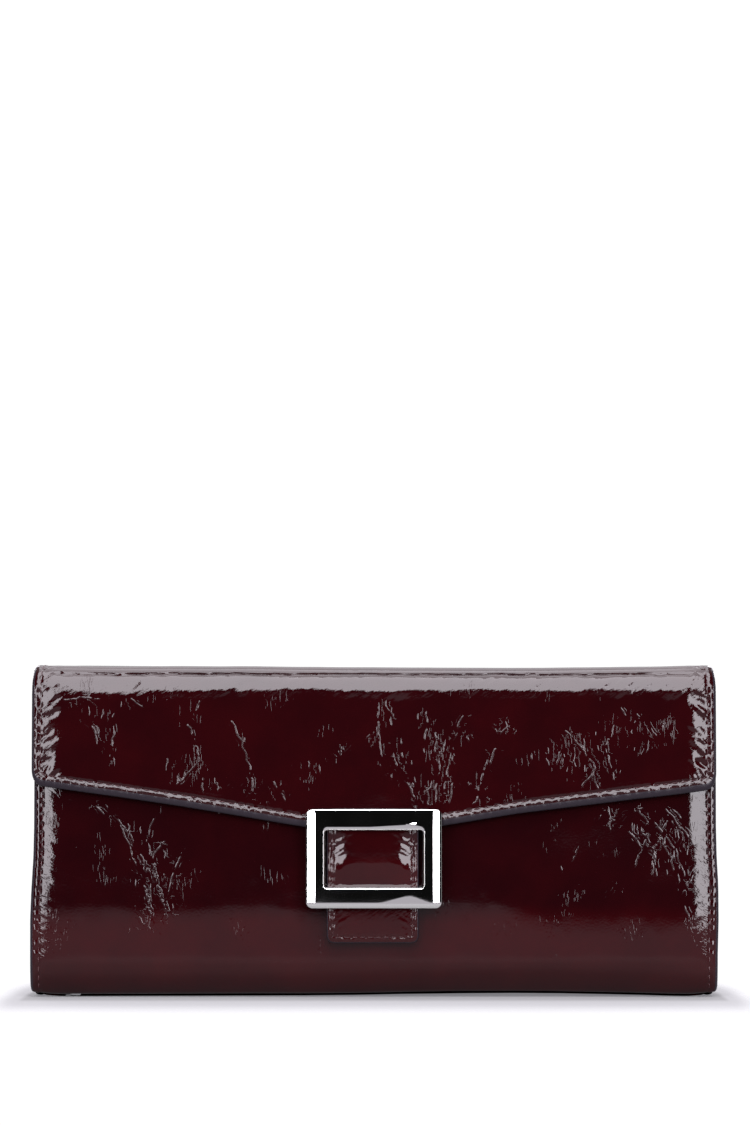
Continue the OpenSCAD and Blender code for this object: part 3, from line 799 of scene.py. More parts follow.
def flap_height(x, s):
    gap, to_side, to_end = flap_gap(x, s)
    along = np.where(to_side < to_end, s, np.abs(x) / math.cos(SLOPE))
    h = border(gap, along, to_side, to_end, side=(0.31, 6.8), rough=0.05)
    on_fold = smooth((FOLD_END + 1 - s) / 4)
    h += 0.25 * on_fold * np.clip(1 - (to_side - STITCH_IN) / 6.8, 0, 1) ** 2
    # The lip swells along the lower edge.
    lip = np.clip(1 - to_end / 0.8, 0, 1) * np.clip((to_side - 1) / 2, 0, 1)
    lumps = 0.09 * lattice_noise(x / 0.9, to_end / 2, 35) + 0.05 * lattice_noise(x / 3, 0 * x, 36)
    h += lip * (0.19 + lumps)
    h += np.clip(gap / 3, 0, 1) * undulation(x, s, 11)
    # Slanted puckers beside the stitches.
    slanted = lattice_noise((s + 0.45 * to_side) / 1.8, to_side / 3.2 + 9 * (x > 0), 37)
    h += 0.115 * slanted * fading(to_side - 3.8, 2.6) * np.clip(gap / 1.5, 0, 1) * (1 - on_fold)
    # The crease across the top, sharp above and soft below.
    strays = 0.12 * lattice_noise(x / 3, 0 * x, 31) + 0.05 * lattice_noise(x / 0.9, 0 * x, 34)
    below = s - CREASE_S - strays
    groove = fading(below, np.where(below < 0, 0.26, 0.6)) * np.clip((91 - np.abs(x)) / 2, 0, 1)
    h -= 0.5 * groove * (1 + 0.2 * lattice_noise(x / 1.3, 0 * x, 39))
    # Waves where the leather turns down, lower on the left, and the dip of the top.
    waves = (0.06 * lattice_noise(x / 7, s / 3.2, 32) + 0.016 * lattice_noise(x / 1.5, s / 3.5, 33)
             + 0.034 * lattice_noise((x + 1.3 * s) / 1.5, (1.3 * x - s) / 6.5, 38))
    h += fading(s - FOLD_END + 1.5, 3.2) * waves
    h -= 0.28 * smooth((flap_s(85.2) - s) / 4) * fading(x + 78, 20)
    return h - top_sag(x) * smooth((FOLD_END - s) / 9)


def marks_of(x, s, creases, crinkled):
    """What the patent leather reads: distance from a crease, its strength, and the crinkling."""
    return np.stack([*near_strokes(x, s, creases), crinkled], axis=-1)


def flap_marks(x, s):
    _, to_side, to_end = flap_gap(x, s)
    side, edge = 0.8 * fading(to_side - 3, 3.2), 0.8 * fading(to_end - 0.6, 1.0)
    fold = 0.75 * fading(s - FOLD_END + 0.4, 2.2) + 0.25 * fading(s - CREASE_S, 0.9)
    return marks_of(x, s, flap_creases, np.maximum(np.maximum(edge, side), fold))


FLAP_COLUMNS = across_steps(FLAP_HALF - RIM_SIDE, 0.3, 0.52, 8)
flap_length = flap_s(FLAP_LOW)
near_edge = flap_length - np.arange(0.12, 1.3, 0.12)
# Rows lie closer together at the sides, by up to this much, so more of them cross the crease.
SIDE_CLOSER = 1.19
near_crease = np.arange(CREASE_S - 0.8, (CREASE_S + 0.9) * SIDE_CLOSER, 0.1)
spread = axis_steps(0, flap_length, 0.3, 0.48, 0.3, 6)
FLAP_ROWS = np.unique(np.r_[spread, near_edge, near_crease]) / flap_length
flap_panel = Panel(flap_path, 0.0, *flap_outline(RIM_SIDE, RIM_END))
flap_leather = flap_panel.build("flap_leather", FLAP_COLUMNS, FLAP_ROWS, flap_height, [PATENT, EDGE],
                                rim_side=RIM_SIDE, rim_end=RIM_END, marks=flap_marks)


def border_line(side, start, reach):
    """A stitch line down both sides and along the far edge of a panel."""
    low = side(np.array([1e3]))[0] - 1.2
    xs = np.linspace(-low, low, 400)
    down = np.linspace(start, reach(np.array([low]))[0] - 1.2, 80)
    return np.vstack([np.c_[-side(down), down], np.c_[xs, reach(xs)], np.c_[side(down[::-1]), down[::-1]]])


inner_reach = flap_outline(RIM_SIDE + STITCH_IN, RIM_END + 1.0)[0]
inner_side = flap_outline(RIM_SIDE + STITCH_IN, 0)[1]
flap_stitches = stitches("flap_stitches", flap_path, [border_line(inner_side, 0.6, inner_reach)],
                         flap_height)
LINING_IN = 2.0
CLOTH = dict(materials=[LINING, LINING], level=-PANEL_T - 0.1, facing=-1, thickness=0.4, rim_side=0.3,
             rim_end=0.3, lip=0.5)
flap_lining = Panel(flap_path, 0.0, *flap_outline(LINING_IN, 3.0)).build(
    "flap_lining_cloth", across_steps(FLAP_HALF - LINING_IN, 1, 3, 2),
    axis_steps(0, flap_length, 0.8, 1.2, 1, 4) / flap_length, lambda x, s: 0.05 * undulation(x, s, 61),
    **CLOTH)
for piece, slot in ((flap_leather, "patent_leather"), (flap_stitches, "patent_leather"),
                    (flap_lining, "lining")):
    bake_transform(piece)
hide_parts("flap_cover")
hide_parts("flap_lining")

# ---------------------------------------------------------------- back and base
back_path = Path(line((BASE_SEAM, 0), (Y_BACK - BOTTOM_RY, 0)),
                 arc(Y_BACK - BOTTOM_RY, BOTTOM_RZ, BOTTOM_RY, BOTTOM_RZ, -90, 0),
                 line((Y_BACK, BOTTOM_RZ), (Y_BACK, FOLD_Z)),
                 arc(Y_BACK - FOLD_R, FOLD_Z, FOLD_R, FOLD_R, 0, 90),
                 line((Y_BACK - FOLD_R, Z_TOP), (TOP_MIDDLE, Z_TOP)))
BACK_OFFSET = -back_path.length


def scattered_creases(count, half, low, high, seed):
    """Short crooked creases, mostly upright, at random."""
    rng = np.random.default_rng(seed)
    strokes = []
    for _ in range(count):
        x, s = rng.uniform(-half, half), rng.uniform(low, high)
        size, lean = rng.uniform(3, 11), rng.normal(0, 0.35)
        strokes.append([(x, s), (x + size * math.sin(lean) / 2, s + size / 2),
                        (x + size * math.sin(lean + rng.normal(0, 0.3)), s + size)])
    return strokes


# How far the wallet's foot arches off the ground.
FOOT_X = [-97, -84, -72, -50, -20, -5, 8, 25, 40, 53, 64, 76, 84, 90, 97]
FOOT_LIFT = [0, 0, 0.05, 0.1, 0.2, 0.35, 0.6, 0.8, 0.88, 0.8, 0.6, 0.35, 0.1, 0, 0]


def foot_lift(x):
    """How far the foot is off the ground here."""
    return np.interp(x, FOOT_X, FOOT_LIFT)


back_creases = wandering(scattered_creases(46, 88, 18, 92, 21), 6, lambda s: s)


def back_side(s):
    """The back's half width, a little less at the base and the top."""
    top = smooth((s - back_path.length + 16) / 14)
    return FLAP_HALF - RIM_SIDE - 0.5 * np.clip(1 - s / 16, 0, 1) ** 2 - 0.9 * top


def back_height(x, s):
    gap = back_side(s) - np.abs(x)
    soft = np.clip(gap / 3, 0, 1) * np.clip((s - 14) / 10, 0, 1)
    fade = smooth((s - back_path.length + 14) / 9)
    h = border(gap, s, gap, rough=0.03) + soft * undulation(x, s + BACK_OFFSET, 11) - top_sag(x) * fade
    return h - foot_lift(x) * smooth((27 - s) / 9)


def back_marks(x, s):
    gap = back_side(s) - np.abs(x)
    return marks_of(x, s, back_creases, 0.7 * fading(gap - 2.6, 2.2))


BACK_COLUMNS = across_steps(FLAP_HALF - RIM_SIDE, 0.35, 0.8, 7)
BACK_ROWS = axis_steps(0, back_path.length, 0.4, 0.65, 0.4, 0.4) / back_path.length
back_panel = Panel(back_path, 0.0, even(back_path.length), back_side, offset=BACK_OFFSET)
back_leather = back_panel.build("back_leather", BACK_COLUMNS, BACK_ROWS, back_height, [PATENT, EDGE],
                                ends=False, marks=back_marks)
down = np.linspace(16, back_path.length, 90)
back_stitches = stitches("back_stitches", back_path, [
    np.c_[side * (back_side(down) - STITCH_IN), down] for side in (-1, 1)], back_height)
LINING_FROM = back_path.s_at(4) + 2
back_lining = Panel(back_path, LINING_FROM, even(back_path.length), even(FLAP_HALF - LINING_IN),
                    offset=BACK_OFFSET).build(
    "back_lining_cloth", across_steps(FLAP_HALF - LINING_IN, 1, 4, 2), np.linspace(0, 1, 110), flat,
    ends=False, **CLOTH)
for piece, slot in ((back_leather, "patent_leather"), (back_stitches, "patent_leather"),
                    (back_lining, "lining")):
    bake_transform(piece)
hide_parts("back_cover", "top_strip_cover")
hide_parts("back_lining", "top_strip_lining")

# ---------------------------------------------------------------- front cover
def front_z(s):
    """The height at this length along the front, where it is upright."""
    return s - (front_path.length - FRONT_TOP)


def front_warp(x, s):
    """The right side is a little fuller than the left."""
    z = front_z(s)
    return x + np.interp(z, [12, 24, 33, 60], [0, 0.3, 0.6, 0.65]) * np.clip((x - 30) / 60, 0, 1) ** 2, s


front_path = Path(line((BASE_SEAM, 0), (Y_FOOT, 0)),
                  arc(Y_FOOT, BOTTOM_RZ, BOTTOM_RY, BOTTOM_RZ, -90, -180),
                  line((Y_FRONT, BOTTOM_RZ), (Y_FRONT, FRONT_TOP)), flip=-1, warp=front_warp)


def front_s(z):
    """The length along the front at height z."""
    return front_path.length - (FRONT_TOP - z)


front_end = front_path.length - RIM_SIDE
WAIST = BODY_HALF - 1
CORNER = 3.2
body_creases = wandering(BODY_CREASES, 7, front_s)


def front_side(s):
    """The front's half width: full below, then narrowing to the waist under the flap."""
    drawn_in = np.interp(front_z(s), [-3, 0, 2.5, 22, 30, 40, 48],
                         [0.5, 0.2, 0, 0, 0.3, BODY_HALF - WAIST - 0.15, BODY_HALF - WAIST])
    return BODY_HALF - drawn_in - RIM_SIDE


def rounded_limit(end, half, radius):
    """A far edge with round corners."""
    def limit(x):
        out = np.clip(np.abs(x) - (half - radius), 0, radius)
        return end - radius + np.sqrt(np.clip(radius ** 2 - out ** 2, 0, None))

    return limit


def front_gap(x, s):
    """Distances to the nearest edge, to the side and to the top edge."""
    to_side, to_end = front_side(s) - np.abs(x), front_end - s
    return rounded_min(to_side, to_end, CORNER), to_side, to_end


def front_height(x, s):
    gap, to_side, to_end = front_gap(x, s)
    along = np.where(to_side < to_end, s, np.abs(x))
    h = border(gap, along, to_side, to_end, side=(0.45, 6.8), rough=0.014)
    h += np.clip(gap / 3, 0, 1) * np.clip((s - 8) / 8, 0, 1) * undulation(x, s, 17)
    leans_from = 26 + 1.2 * lattice_noise(x / 16, 0 * x, 19)
    below = np.clip(leans_from - front_z(s), 0, None)
    h -= 0.04 * below ** 2 / (below + 6)
    h -= foot_lift(x) * smooth((15 - s) / 9)
    snap = np.hypot(x, s - front_s(SNAP_Z))
    return h * np.clip((snap - 4) / 6, 0, 1)


def front_marks(x, s):
    gap, _, _ = front_gap(x, s)
    return marks_of(x, s, body_creases, 0.6 * fading(gap - 2.4, 2.0))


def front_painted_light(_, s):
    """A painted reflection of the floor: the leather is painted redder and lighter low down, and less so
    near the foot, where it lies in shade.
    """
    z = front_z(s)
    return smooth((27.5 - z) / 7) * (0.25 + 0.75 * smooth((z + 1) / 13))


FRONT_COLUMNS = across_steps(BODY_HALF - RIM_SIDE, 0.3, 0.56, 8)
FRONT_ROWS = axis_steps(0, front_end, 0.35, 0.52, 0.35, 5) / front_end
front_panel = Panel(front_path, 0.0, even(front_end), front_side,
                    rounded_limit(front_end, WAIST - RIM_SIDE, CORNER), offset=300)
front_leather = front_panel.build("front_leather", FRONT_COLUMNS, FRONT_ROWS, front_height, [PATENT, EDGE],
                                  rim_side=RIM_SIDE, rim_end=RIM_SIDE, marks=front_marks, painted_light=front_painted_light)
s_run = np.linspace(6, front_end - 1.8 - CORNER, 120)
half_run = front_side(s_run) - STITCH_IN
top_run = [(-(WAIST - 5), front_end - 1.0), (WAIST - 5, front_end - 1.0)]
front_stitches = stitches("front_stitches", front_path, [
    np.c_[-half_run, s_run], np.c_[half_run, s_run], top_run], front_height)
FRONT_LINING_HALF = WAIST - 2.2
front_lining = Panel(front_path, front_s(4), even(front_end - 1.2), even(FRONT_LINING_HALF)).build(
    "front_lining_cloth", across_steps(FRONT_LINING_HALF, 1, 4, 2), np.linspace(0, 1, 60), flat, **CLOTH)
for piece, slot in ((front_leather, "patent_leather"), (front_stitches, "patent_leather"),
                    (front_lining, "lining")):
    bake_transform(piece)
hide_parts("front_cover")
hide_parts("front_lining")


# ---------------------------------------------------------------- tab
TAB_BULGE_Z = np.array([29.5, 31.0, 33.0, 35.5, 38.0, 41.0, 44.0, 47.0, 48.6, 49.6, 50.6])
TAB_BULGE = np.array([0.0, 0.42, 0.8, 1.05, 1.22, 1.27, 1.3, 1.3, 1.22, 0.5, 0.0])


def tab_y(z):
    """The tab bulges through the buckle's window and curves in below it."""
    bulge = np.interp(z, TAB_BULGE_Z, TAB_BULGE)
    tip = 0.7 * np.clip((25 - z) / 10, 0, 1) ** 2
    return Y_TAB - bulge + tip


tab_z = np.linspace(TAB_HIGH, TAB_LOW, 160)
TAB_LEFT = 0.35  # how far the tab hangs to the left
tab_path = Path(np.c_[tab_y(tab_z), tab_z], warp=lambda x, s: (x - TAB_LEFT, s))
TAB_RIM = 0.5
TAB_R = 1.6
TAB_STITCH = 1.3
tab_end = tab_path.length - TAB_RIM
tab_side = TAB_HALF - TAB_RIM


def tab_gap(x, s):
    """Distances to the nearest edge, to the side and to the lower end."""
    to_side, to_end = tab_side - np.abs(x), tab_end - s
    return rounded_min(to_side, to_end, 2.0), to_side, to_end


def tab_height(x, s):
    gap, to_side, to_end = tab_gap(x, s)
    h = border(gap, np.where(to_side < to_end, s, np.abs(x)), to_side, to_end, stitch_in=TAB_STITCH,
               stitch_end=TAB_STITCH, side=(0.06, 1.6), end=(0.1, 1.5))
    z = TAB_HIGH - s
    fullest = np.interp(z, [30, 36, 38.5, 41, 43.5, 46, 49], [0.5, 0.5, 0.9, 1, 0.9, 0.55, 0.5])
    pad = np.interp(z, TAB_BULGE_Z, TAB_BULGE) / 1.3 * fullest
    h -= pad * 0.95 * np.clip(1 - (to_side - 1.2) / 6.6, 0, 1) ** 2
    return h + 0.3 * undulation(2 * x, 2 * s, 41)


def tab_marks(x, s):
    gap, _, _ = tab_gap(x, s)
    crinkled = 1.3 * fading(gap - TAB_STITCH, 1.0) + 0.4 * smooth((s - 22) / 4) + 0.4 * smooth((7 - s) / 3)
    return marks_of(x, s, [], crinkled)


tab_panel = Panel(tab_path, 0.0, even(tab_end), even(tab_side), rounded_limit(tab_end, tab_side, TAB_R),
                  offset=700)
# The tab's lower part carries more painted light: a painted reflection of the floor in its base colour.
tab_leather = tab_panel.build(
    "tab_leather", across_steps(tab_side, 0.2, 0.3, 4), axis_steps(0, tab_end, 0.3, 0.3, 0.3, 3) / tab_end,
    tab_height, [PATENT, EDGE], thickness=1.2, rim_side=TAB_RIM, rim_end=TAB_RIM, lip=0.8, marks=tab_marks,
    painted_light=lambda x, s: 0.45 + 0.55 * smooth((s - 12.5) / 2))
tab_back = tab_panel.build(
    "tab_back_leather", across_steps(tab_side, 0.5, 1, 1), np.linspace(0, 1, 60), flat, [INNER, EDGE],
    level=-1.72, facing=-1, thickness=0.4, rim_side=0.3, rim_end=0.3, lip=0.3)
tab_half, tab_row = tab_side - TAB_STITCH, tab_end - TAB_STITCH
tab_rows = [[(x, 3), (x, tab_row)] for x in (-tab_half, tab_half)]
tab_rows += [[(-tab_half + 0.6, tab_row), (tab_half - 0.6, tab_row)]]
tab_stitches = stitches("tab_stitches", tab_path, tab_rows, tab_height, length=1.6, radius=0.14, pitch=2.2)
for piece, slot in ((tab_leather, "patent_leather"), (tab_back, "inner_leather"),
                    (tab_stitches, "patent_leather")):
    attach(piece, "flap")
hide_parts("tab_front")
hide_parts("tab_back")


# ---------------------------------------------------------------- buckle
def rounded_loop(half_w, half_h, radius, middle_z):
    """X and Z of points round a rectangle with round corners, and the way each one faces."""
    def on_corner(quarter, a):
        sx, sz = ((1, 1), (-1, 1), (-1, -1), (1, -1))[quarter % 4]
        return np.array([sx * (half_w - radius) + radius * math.cos(a),
                         middle_z + sz * (half_h - radius) + radius * math.sin(a)])

    points, turns = [], []
    for quarter in range(4):
        angles = np.radians(np.linspace(90 * quarter, 90 * quarter + 90, 9))
        start, end = on_corner(quarter, angles[-1]), on_corner(quarter + 1, angles[-1])
        straight = np.linspace(0, 1, 26)[1:-1]
        points += [on_corner(quarter, a) for a in angles] + [start + t * (end - start) for t in straight]
        turns += [*angles, *np.full(len(straight), angles[-1])]
    return *np.array(points).T, np.array(turns)


(bx0, Y_BUCKLE, bz0), (bx1, _, bz1) = box_of("buckle_frame")
# Half width, half height, corner radius and the height of the middle.
OUTER = ((bx1 - bx0) / 2, (bz1 - bz0) / 2, 2.0, (bz0 + bz1) / 2)
WINDOW = (13.85, 8.05, 0.9, OUTER[3])
# How steeply the face leans back at each distance from its outside, in degrees, on each side:
# wide and round on the left, narrow on top.
LEAN = {
    "right": ([0, 0.1, 0.3, 0.48, 0.6, 1.4, 2.1, 2.5, 2.7],
              [75, 45, 28, 19, 14.8, 12.0, 9.5, 7.5, 0.5]),
    "top": ([0, 0.05, 0.12, 0.18, 0.24, 0.8, 1.9, 2.5], [80, 60, 25, 6, 1.2, 0.8, 0.4, 0]),
    "left": ([0, 0.03, 0.08, 0.4, 1.0, 2.0, 2.55, 2.8], [70, 25, 15.6, 14.6, 13.2, 11.2, 9.2, 1.5]),
    "bottom": ([0, 0.1, 0.25, 0.5, 0.9, 1.25, 1.35, 1.5], [70, 45, 28, 22, 17, 13, 6, 0.5])}
FACE_W = 4.0  # the lean has died out this far in
WALL = OUTER[0] - WINDOW[0]


def dome(side, distance):
    """How far the face lies behind its flat part, at this distance from the outside."""
    at, lean = LEAN[side]
    fine = np.linspace(0, FACE_W, 801)
    slope = np.tan(np.radians(np.interp(fine, at + [FACE_W], lean + [0])))
    behind = np.cumsum(slope[::-1])[::-1] * (fine[1] - fine[0])
    return np.interp(distance, fine, behind - behind[-1])


def face_depth(x, z):
    """How far back the face lies: its four slopes, and a slanted facet low on the right."""
    rise = z - OUTER[3]
    aside = OUTER[0] - np.abs(x)
    sides = np.where(x > 0, dome("right", aside), dome("left", aside))
    ends = np.where(rise > 0, dome("top", OUTER[1] - rise), dome("bottom", OUTER[1] + rise))
    wedge = 2.2 * np.clip((x - 2) / 8, 0, 1) * np.clip((15.5 - x) / 5.5, 0, 1)
    low = math.tan(math.radians(3.5)) * np.clip(1.35 + wedge - (OUTER[1] + rise), 0, wedge)
    return sides + ends + low * (rise < 0)


# The section, from the back of the outside to the back of the window: how far in each loop is as
# part of the wall, and how far back at least.
STEPS = [0.0, 0.03, 0.07, 0.12, 0.17, 0.23, 0.32, 0.42, 0.55, 0.7, 0.9, 1.1, 1.3, 1.5, 1.72, 1.95, 2.2,
         2.45, 2.7, 2.95, 3.3, 3.7]
FACE = [(0.10, 3.2), (0.02, 3.1), (0.0, 2.9)] + [(step / WALL, 0.0) for step in STEPS]
# The rim round the window: how far outside the window each loop is, and how far back.
RIM = [(0.5, 0.0), (0.41, 0.0), (0.37, 0.01), (0.27, 0.07), (0.16, 0.15), (0.06, 0.3), (0.0, 0.55)]
loops = []
for part, behind in FACE:
    x, z, _ = rounded_loop(*(a + (b - a) * part for a, b in zip(OUTER, WINDOW)))
    loops.append(np.c_[x, Y_BUCKLE + np.maximum(behind, face_depth(x, z)), z])
for out, behind in RIM + [(0.0, 2.9), (0.12, 3.2)]:
    high = 2.0 * out  # the rim is this much wider along the top
    x, z, turn = rounded_loop(WINDOW[0] + out, WINDOW[1] + (out + high) / 2, WINDOW[2] + out / 2,
                              WINDOW[3] + (high - out) / 2)
    if behind < 0.5:
        over = np.clip((x + 1) / 11, 0, 1) * np.clip((14.0 - x) / 3, 0, 1) * (np.sin(turn) > 0.9)
        z = z + over * out * 1.6
    loops.append(np.c_[x, np.full(len(x), Y_BUCKLE + behind), z])
faces = ring_faces(len(loops) + 1, len(loops[0])) % (len(loops) * len(loops[0]))
buckle = make("buckle", np.vstack(loops), faces[:, [0, 3, 2, 1]], [BUCKLE])
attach(buckle, "flap")
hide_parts("buckle_frame")


# ---------------------------------------------------------------- inside
def slot_pocket(number, facing):
    """One card layer, with its rolled top edge and stitching."""
    word = "back" if facing > 0 else "front"
    node = f"{word}_card_slot_{number}"
    low, high = box_of(node)
    y = low[1] if facing > 0 else high[1]
    path = Path(line((y, low[2]), (y, high[2])), flip=-facing)
    rim = 0.28
    half, end = high[0] - rim, high[2] - low[2] - rim

    def height(x, s):
        gap = np.minimum(half - np.abs(x), end - s)
        fold = 0.12 * np.exp(-((end - s - 1.4) / 1.3) ** 4)
        rolled = 0.1 * np.clip(1 - gap / 0.5, 0, 1) ** 2
        return fold - rolled - 0.16 * fading(x, 0.5) + 0.03 * lattice_noise(x / 14, s / 12, 70 + number)

    panel = Panel(path, 0.0, even(end), even(half), offset=900 + 90 * number)
    leather = panel.build(f"{word}_card_leather_{number}", across_steps(half, 0.4, 1.6, 1.2),
                          axis_steps(0, end, 0.35, 1.4, 0.7, 4) / end, height, [INNER, EDGE],
                          thickness=0.46, rim_side=rim, rim_end=rim, lip=0.3)
    rows = [[(-half + 2, end - 2.6), (half - 2, end - 2.6)]]
    rows += [[(x, end - 3), (x, 1)] for x in (0, STITCH_IN - half, half - STITCH_IN)]
    sewn = stitches(f"{word}_card_stitches_{number}", path, rows, height, length=1.5, radius=0.13,
                    pitch=2.2)
    for piece in (leather, sewn):
        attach(piece, word)
    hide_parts(node)


for number in range(1, 5):
    for facing in (1, -1):
        slot_pocket(number, facing)


def bevelled(name, boxes, radius, mat, segments=3):
    """Boxes with rounded edges, as one piece."""
    mesh = bpy.data.meshes.new(name)
    points, faces = [], []
    for low, high in boxes:
        first = len(points)
        for z in (low[2], high[2]):
            for x, y in ((low[0], low[1]), (high[0], low[1]), (high[0], high[1]), (low[0], high[1])):
                points.append((x * MM, y * MM, z * MM))
        faces += [[first + k for k in face] for face in (
            (3, 2, 1, 0), (4, 5, 6, 7), (0, 1, 5, 4), (1, 2, 6, 5), (2, 3, 7, 6), (3, 0, 4, 7))]
    mesh.from_pydata(points, [], faces)
    mesh.materials.append(mat)
    obj = bpy.data.objects.new(name, mesh)
    bpy.context.scene.collection.objects.link(obj)
    bevel = obj.modifiers.new("edges", "BEVEL")
    bevel.width, bevel.segments, bevel.limit_method = radius * MM, segments, "ANGLE"
    for face in mesh.polygons:
        face.use_smooth = True
    normals = obj.modifiers.new("normals", "WEIGHTED_NORMAL")
    normals.keep_sharp = True
    return obj


PW, PE = 0.8, 1.2  # the pocket's walls and ends
(x0, y0, z0), (x1, y1, z1) = shell_low, shell_high = box_of("coin_pocket_shell")
pocket_shell = bevelled("coin_pocket_leather", [
    ((x0, y0, z0), (x1, y0 + PW, z1)), ((x0, y1 - PW, z0), (x1, y1, z1)),
    ((x0 + 0.2, y0 + 0.2, z0 + 0.05), (x1 - 0.2, y1 - 0.2, z0 + PW)),
    ((x0 + 0.05, y0 + 0.1, z0 + 0.1), (x0 + PE, y1 - 0.1, z1 - 0.1)),
    ((x1 - PE, y0 + 0.1, z0 + 0.1), (x1 - 0.05, y1 - 0.1, z1 - 0.1))], 0.33, POCKET)
(x0, y0, z0), (x1, y1, z1) = box_of("coin_pocket_lining")
BAG_T = 0.3
bag = bevelled("coin_pocket_bag", [
    ((x0, y0, z0), (x1, y0 + BAG_T, z1)), ((x0, y1 - BAG_T, z0), (x1, y1, z1)),
    ((x0, y0, z0), (x1, y1, z0 + BAG_T)),
    ((x0, y0, z0), (x0 + BAG_T, y1, z1)), ((x1 - BAG_T, y0, z0), (x1, y1, z1))], 0.1, BAG, 2)
SEWN_UP = 69.6  # the zip is sewn in this far up the walls
wall_rows = [[(shell_low[0] + 2, SEWN_UP), (shell_high[0] - 2, SEWN_UP)]]
for piece in (pocket_shell, bag):
    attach(piece, "pocket")
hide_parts("coin_pocket_shell")
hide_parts("coin_pocket_lining")
for word, wall, flip in (("front", shell_low[1], -1), ("rear", shell_high[1], 1)):
    path = Path(line((wall, shell_low[2]), (wall, shell_high[2])), flip=flip)
    sewn = stitches(f"pocket_{word}_stitches", path, wall_rows, flat, length=1.6, pitch=2.4)
    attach(sewn, "pocket")


def swept(name, outline, x0, x1, steps, mat):
    """A closed section in the side view, drawn along X."""
    points = [(x, y, z) for x in np.linspace(x0, x1, steps) for y, z in outline]
    return make(name, points, ring_faces(steps, len(outline)), [mat])


for word, facing in (("front", -1), ("rear", 1)):
    low, high = box_of(f"zip_tape_{word}")
    wall = high[1] if facing > 0 else low[1]
    root = low[1] if facing > 0 else high[1]
    outer = [(wall, low[2]), (wall, high[2] - 0.25), (wall - facing * 0.25, high[2]), (root, high[2]),
             (root, high[2] - 0.4), (wall - facing * 0.4, high[2] - 0.4), (wall - facing * 0.4, low[2])]
    tape = swept(f"tape_{word}", outer, low[0], high[0], 120, TAPE)
    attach(tape, "pocket")
    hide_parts(f"zip_tape_{word}")

# Zip teeth: each one a waisted block with a rounded head, on a corded edge. Each row is a ring's
# distance from the zip's middle, and its half sizes.
TOOTH = [(1.0, 0.42, 0.7), (0.75, 0.46, 0.78), (0.2, 0.34, 0.7), (-0.1, 0.42, 0.74), (-0.42, 0.3, 0.55)]
TOOTH_STEP = 2.2
zip_y = sum(corner[1] for corner in box_of("zip_slider")) / 2
for word, facing in (("front", -1), ("rear", 1)):
    low, high = box_of(f"zip_teeth_{word}")
    middle_z = (low[2] + high[2]) / 2
    points, faces = [], []
    for k in range(int(round((high[0] - low[0] - 1.0) / TOOTH_STEP)) + 1):
        centre = low[0] + 0.5 + TOOTH_STEP * k
        first = len(points)
        for y, half_x, half_z in TOOTH:
            for a in np.radians(np.arange(8) * 45 + 22.5):
                cx, cz = (1.15 * c / math.cos(math.pi / 8) for c in (math.cos(a), math.sin(a)))
                points.append((centre + half_x * np.clip(cx, -1, 1), zip_y + facing * y,
                               middle_z + half_z * np.clip(cz, -1, 1)))
        faces += (ring_faces(len(TOOTH), 8) + first).tolist()
        last = len(points) - 8
        faces += [[last + k for k in face] for face in ((0, 1, 2, 3), (0, 3, 4, 7), (4, 5, 6, 7))]
    teeth = make(f"teeth_{word}", points, faces, [NICKEL])
    cord = [(zip_y + facing * (1.22 + 0.28 * math.cos(a)), middle_z + 0.42 * math.sin(a))
            for a in np.radians(np.arange(8) * 45)]
    bead = swept(f"cord_edge_{word}", cord, low[0] - 2, high[0] + 2, 90, TAPE)
    for piece, slot in ((teeth, "nickel"), (bead, "lining")):
        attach(piece, "pocket")
    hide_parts(f"zip_teeth_{word}")

low, high = box_of("zip_end_stops")
stops = bevelled("end_stops", [((low[0], low[1], low[2]), (low[0] + 1.8, high[1], high[2])),
                               ((high[0] - 1.8, low[1], low[2]), (high[0], high[1], high[2]))], 0.3, NICKEL)
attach(stops, "pocket")
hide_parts("zip_end_stops")


def plate(name, outline, holes_at, low_z, high_z, mat, bevel=0.15):
    """A flat plate seen from above, extruded in Z, with round holes, bevelled."""
    curve = bpy.data.curves.new(name, "CURVE")
    curve.dimensions = "2D"
    curve.fill_mode = "BOTH"
    for shape in [outline] + holes_at:
        spline = curve.splines.new("POLY")
        spline.points.add(len(shape) - 1)
        for point, (x, y) in zip(spline.points, shape):
            point.co = (x * MM, y * MM, 0, 1)
        spline.use_cyclic_u = True
    curve.extrude = ((high_z - low_z) / 2 - bevel) * MM
    curve.bevel_depth = bevel * MM
    curve.bevel_resolution = 2
    curve.offset = -bevel * MM
    temporary = bpy.data.objects.new(name + "_curve", curve)
    bpy.context.scene.collection.objects.link(temporary)
    bpy.context.view_layer.update()
    mesh = bpy.data.meshes.new_from_object(temporary)
    bpy.data.objects.remove(temporary)
    mesh.name = name
    shift = np.zeros(len(mesh.vertices) * 3, np.float32)
    mesh.vertices.foreach_get("co", shift)
    shift = shift.reshape(-1, 3)
    shift[:, 2] += (low_z + high_z) / 2 * MM
    mesh.vertices.foreach_set("co", shift.ravel())
    mesh.materials.clear()
    mesh.materials.append(mat)
    obj = bpy.data.objects.new(name, mesh)
    bpy.context.scene.collection.objects.link(obj)
    return obj


def circle(cx, cy, radius, count=24):
    """Points round a circle."""
    angles = np.linspace(0, 2 * math.pi, count, endpoint=False)
    return [(cx + radius * math.cos(a), cy + radius * math.sin(a)) for a in angles]


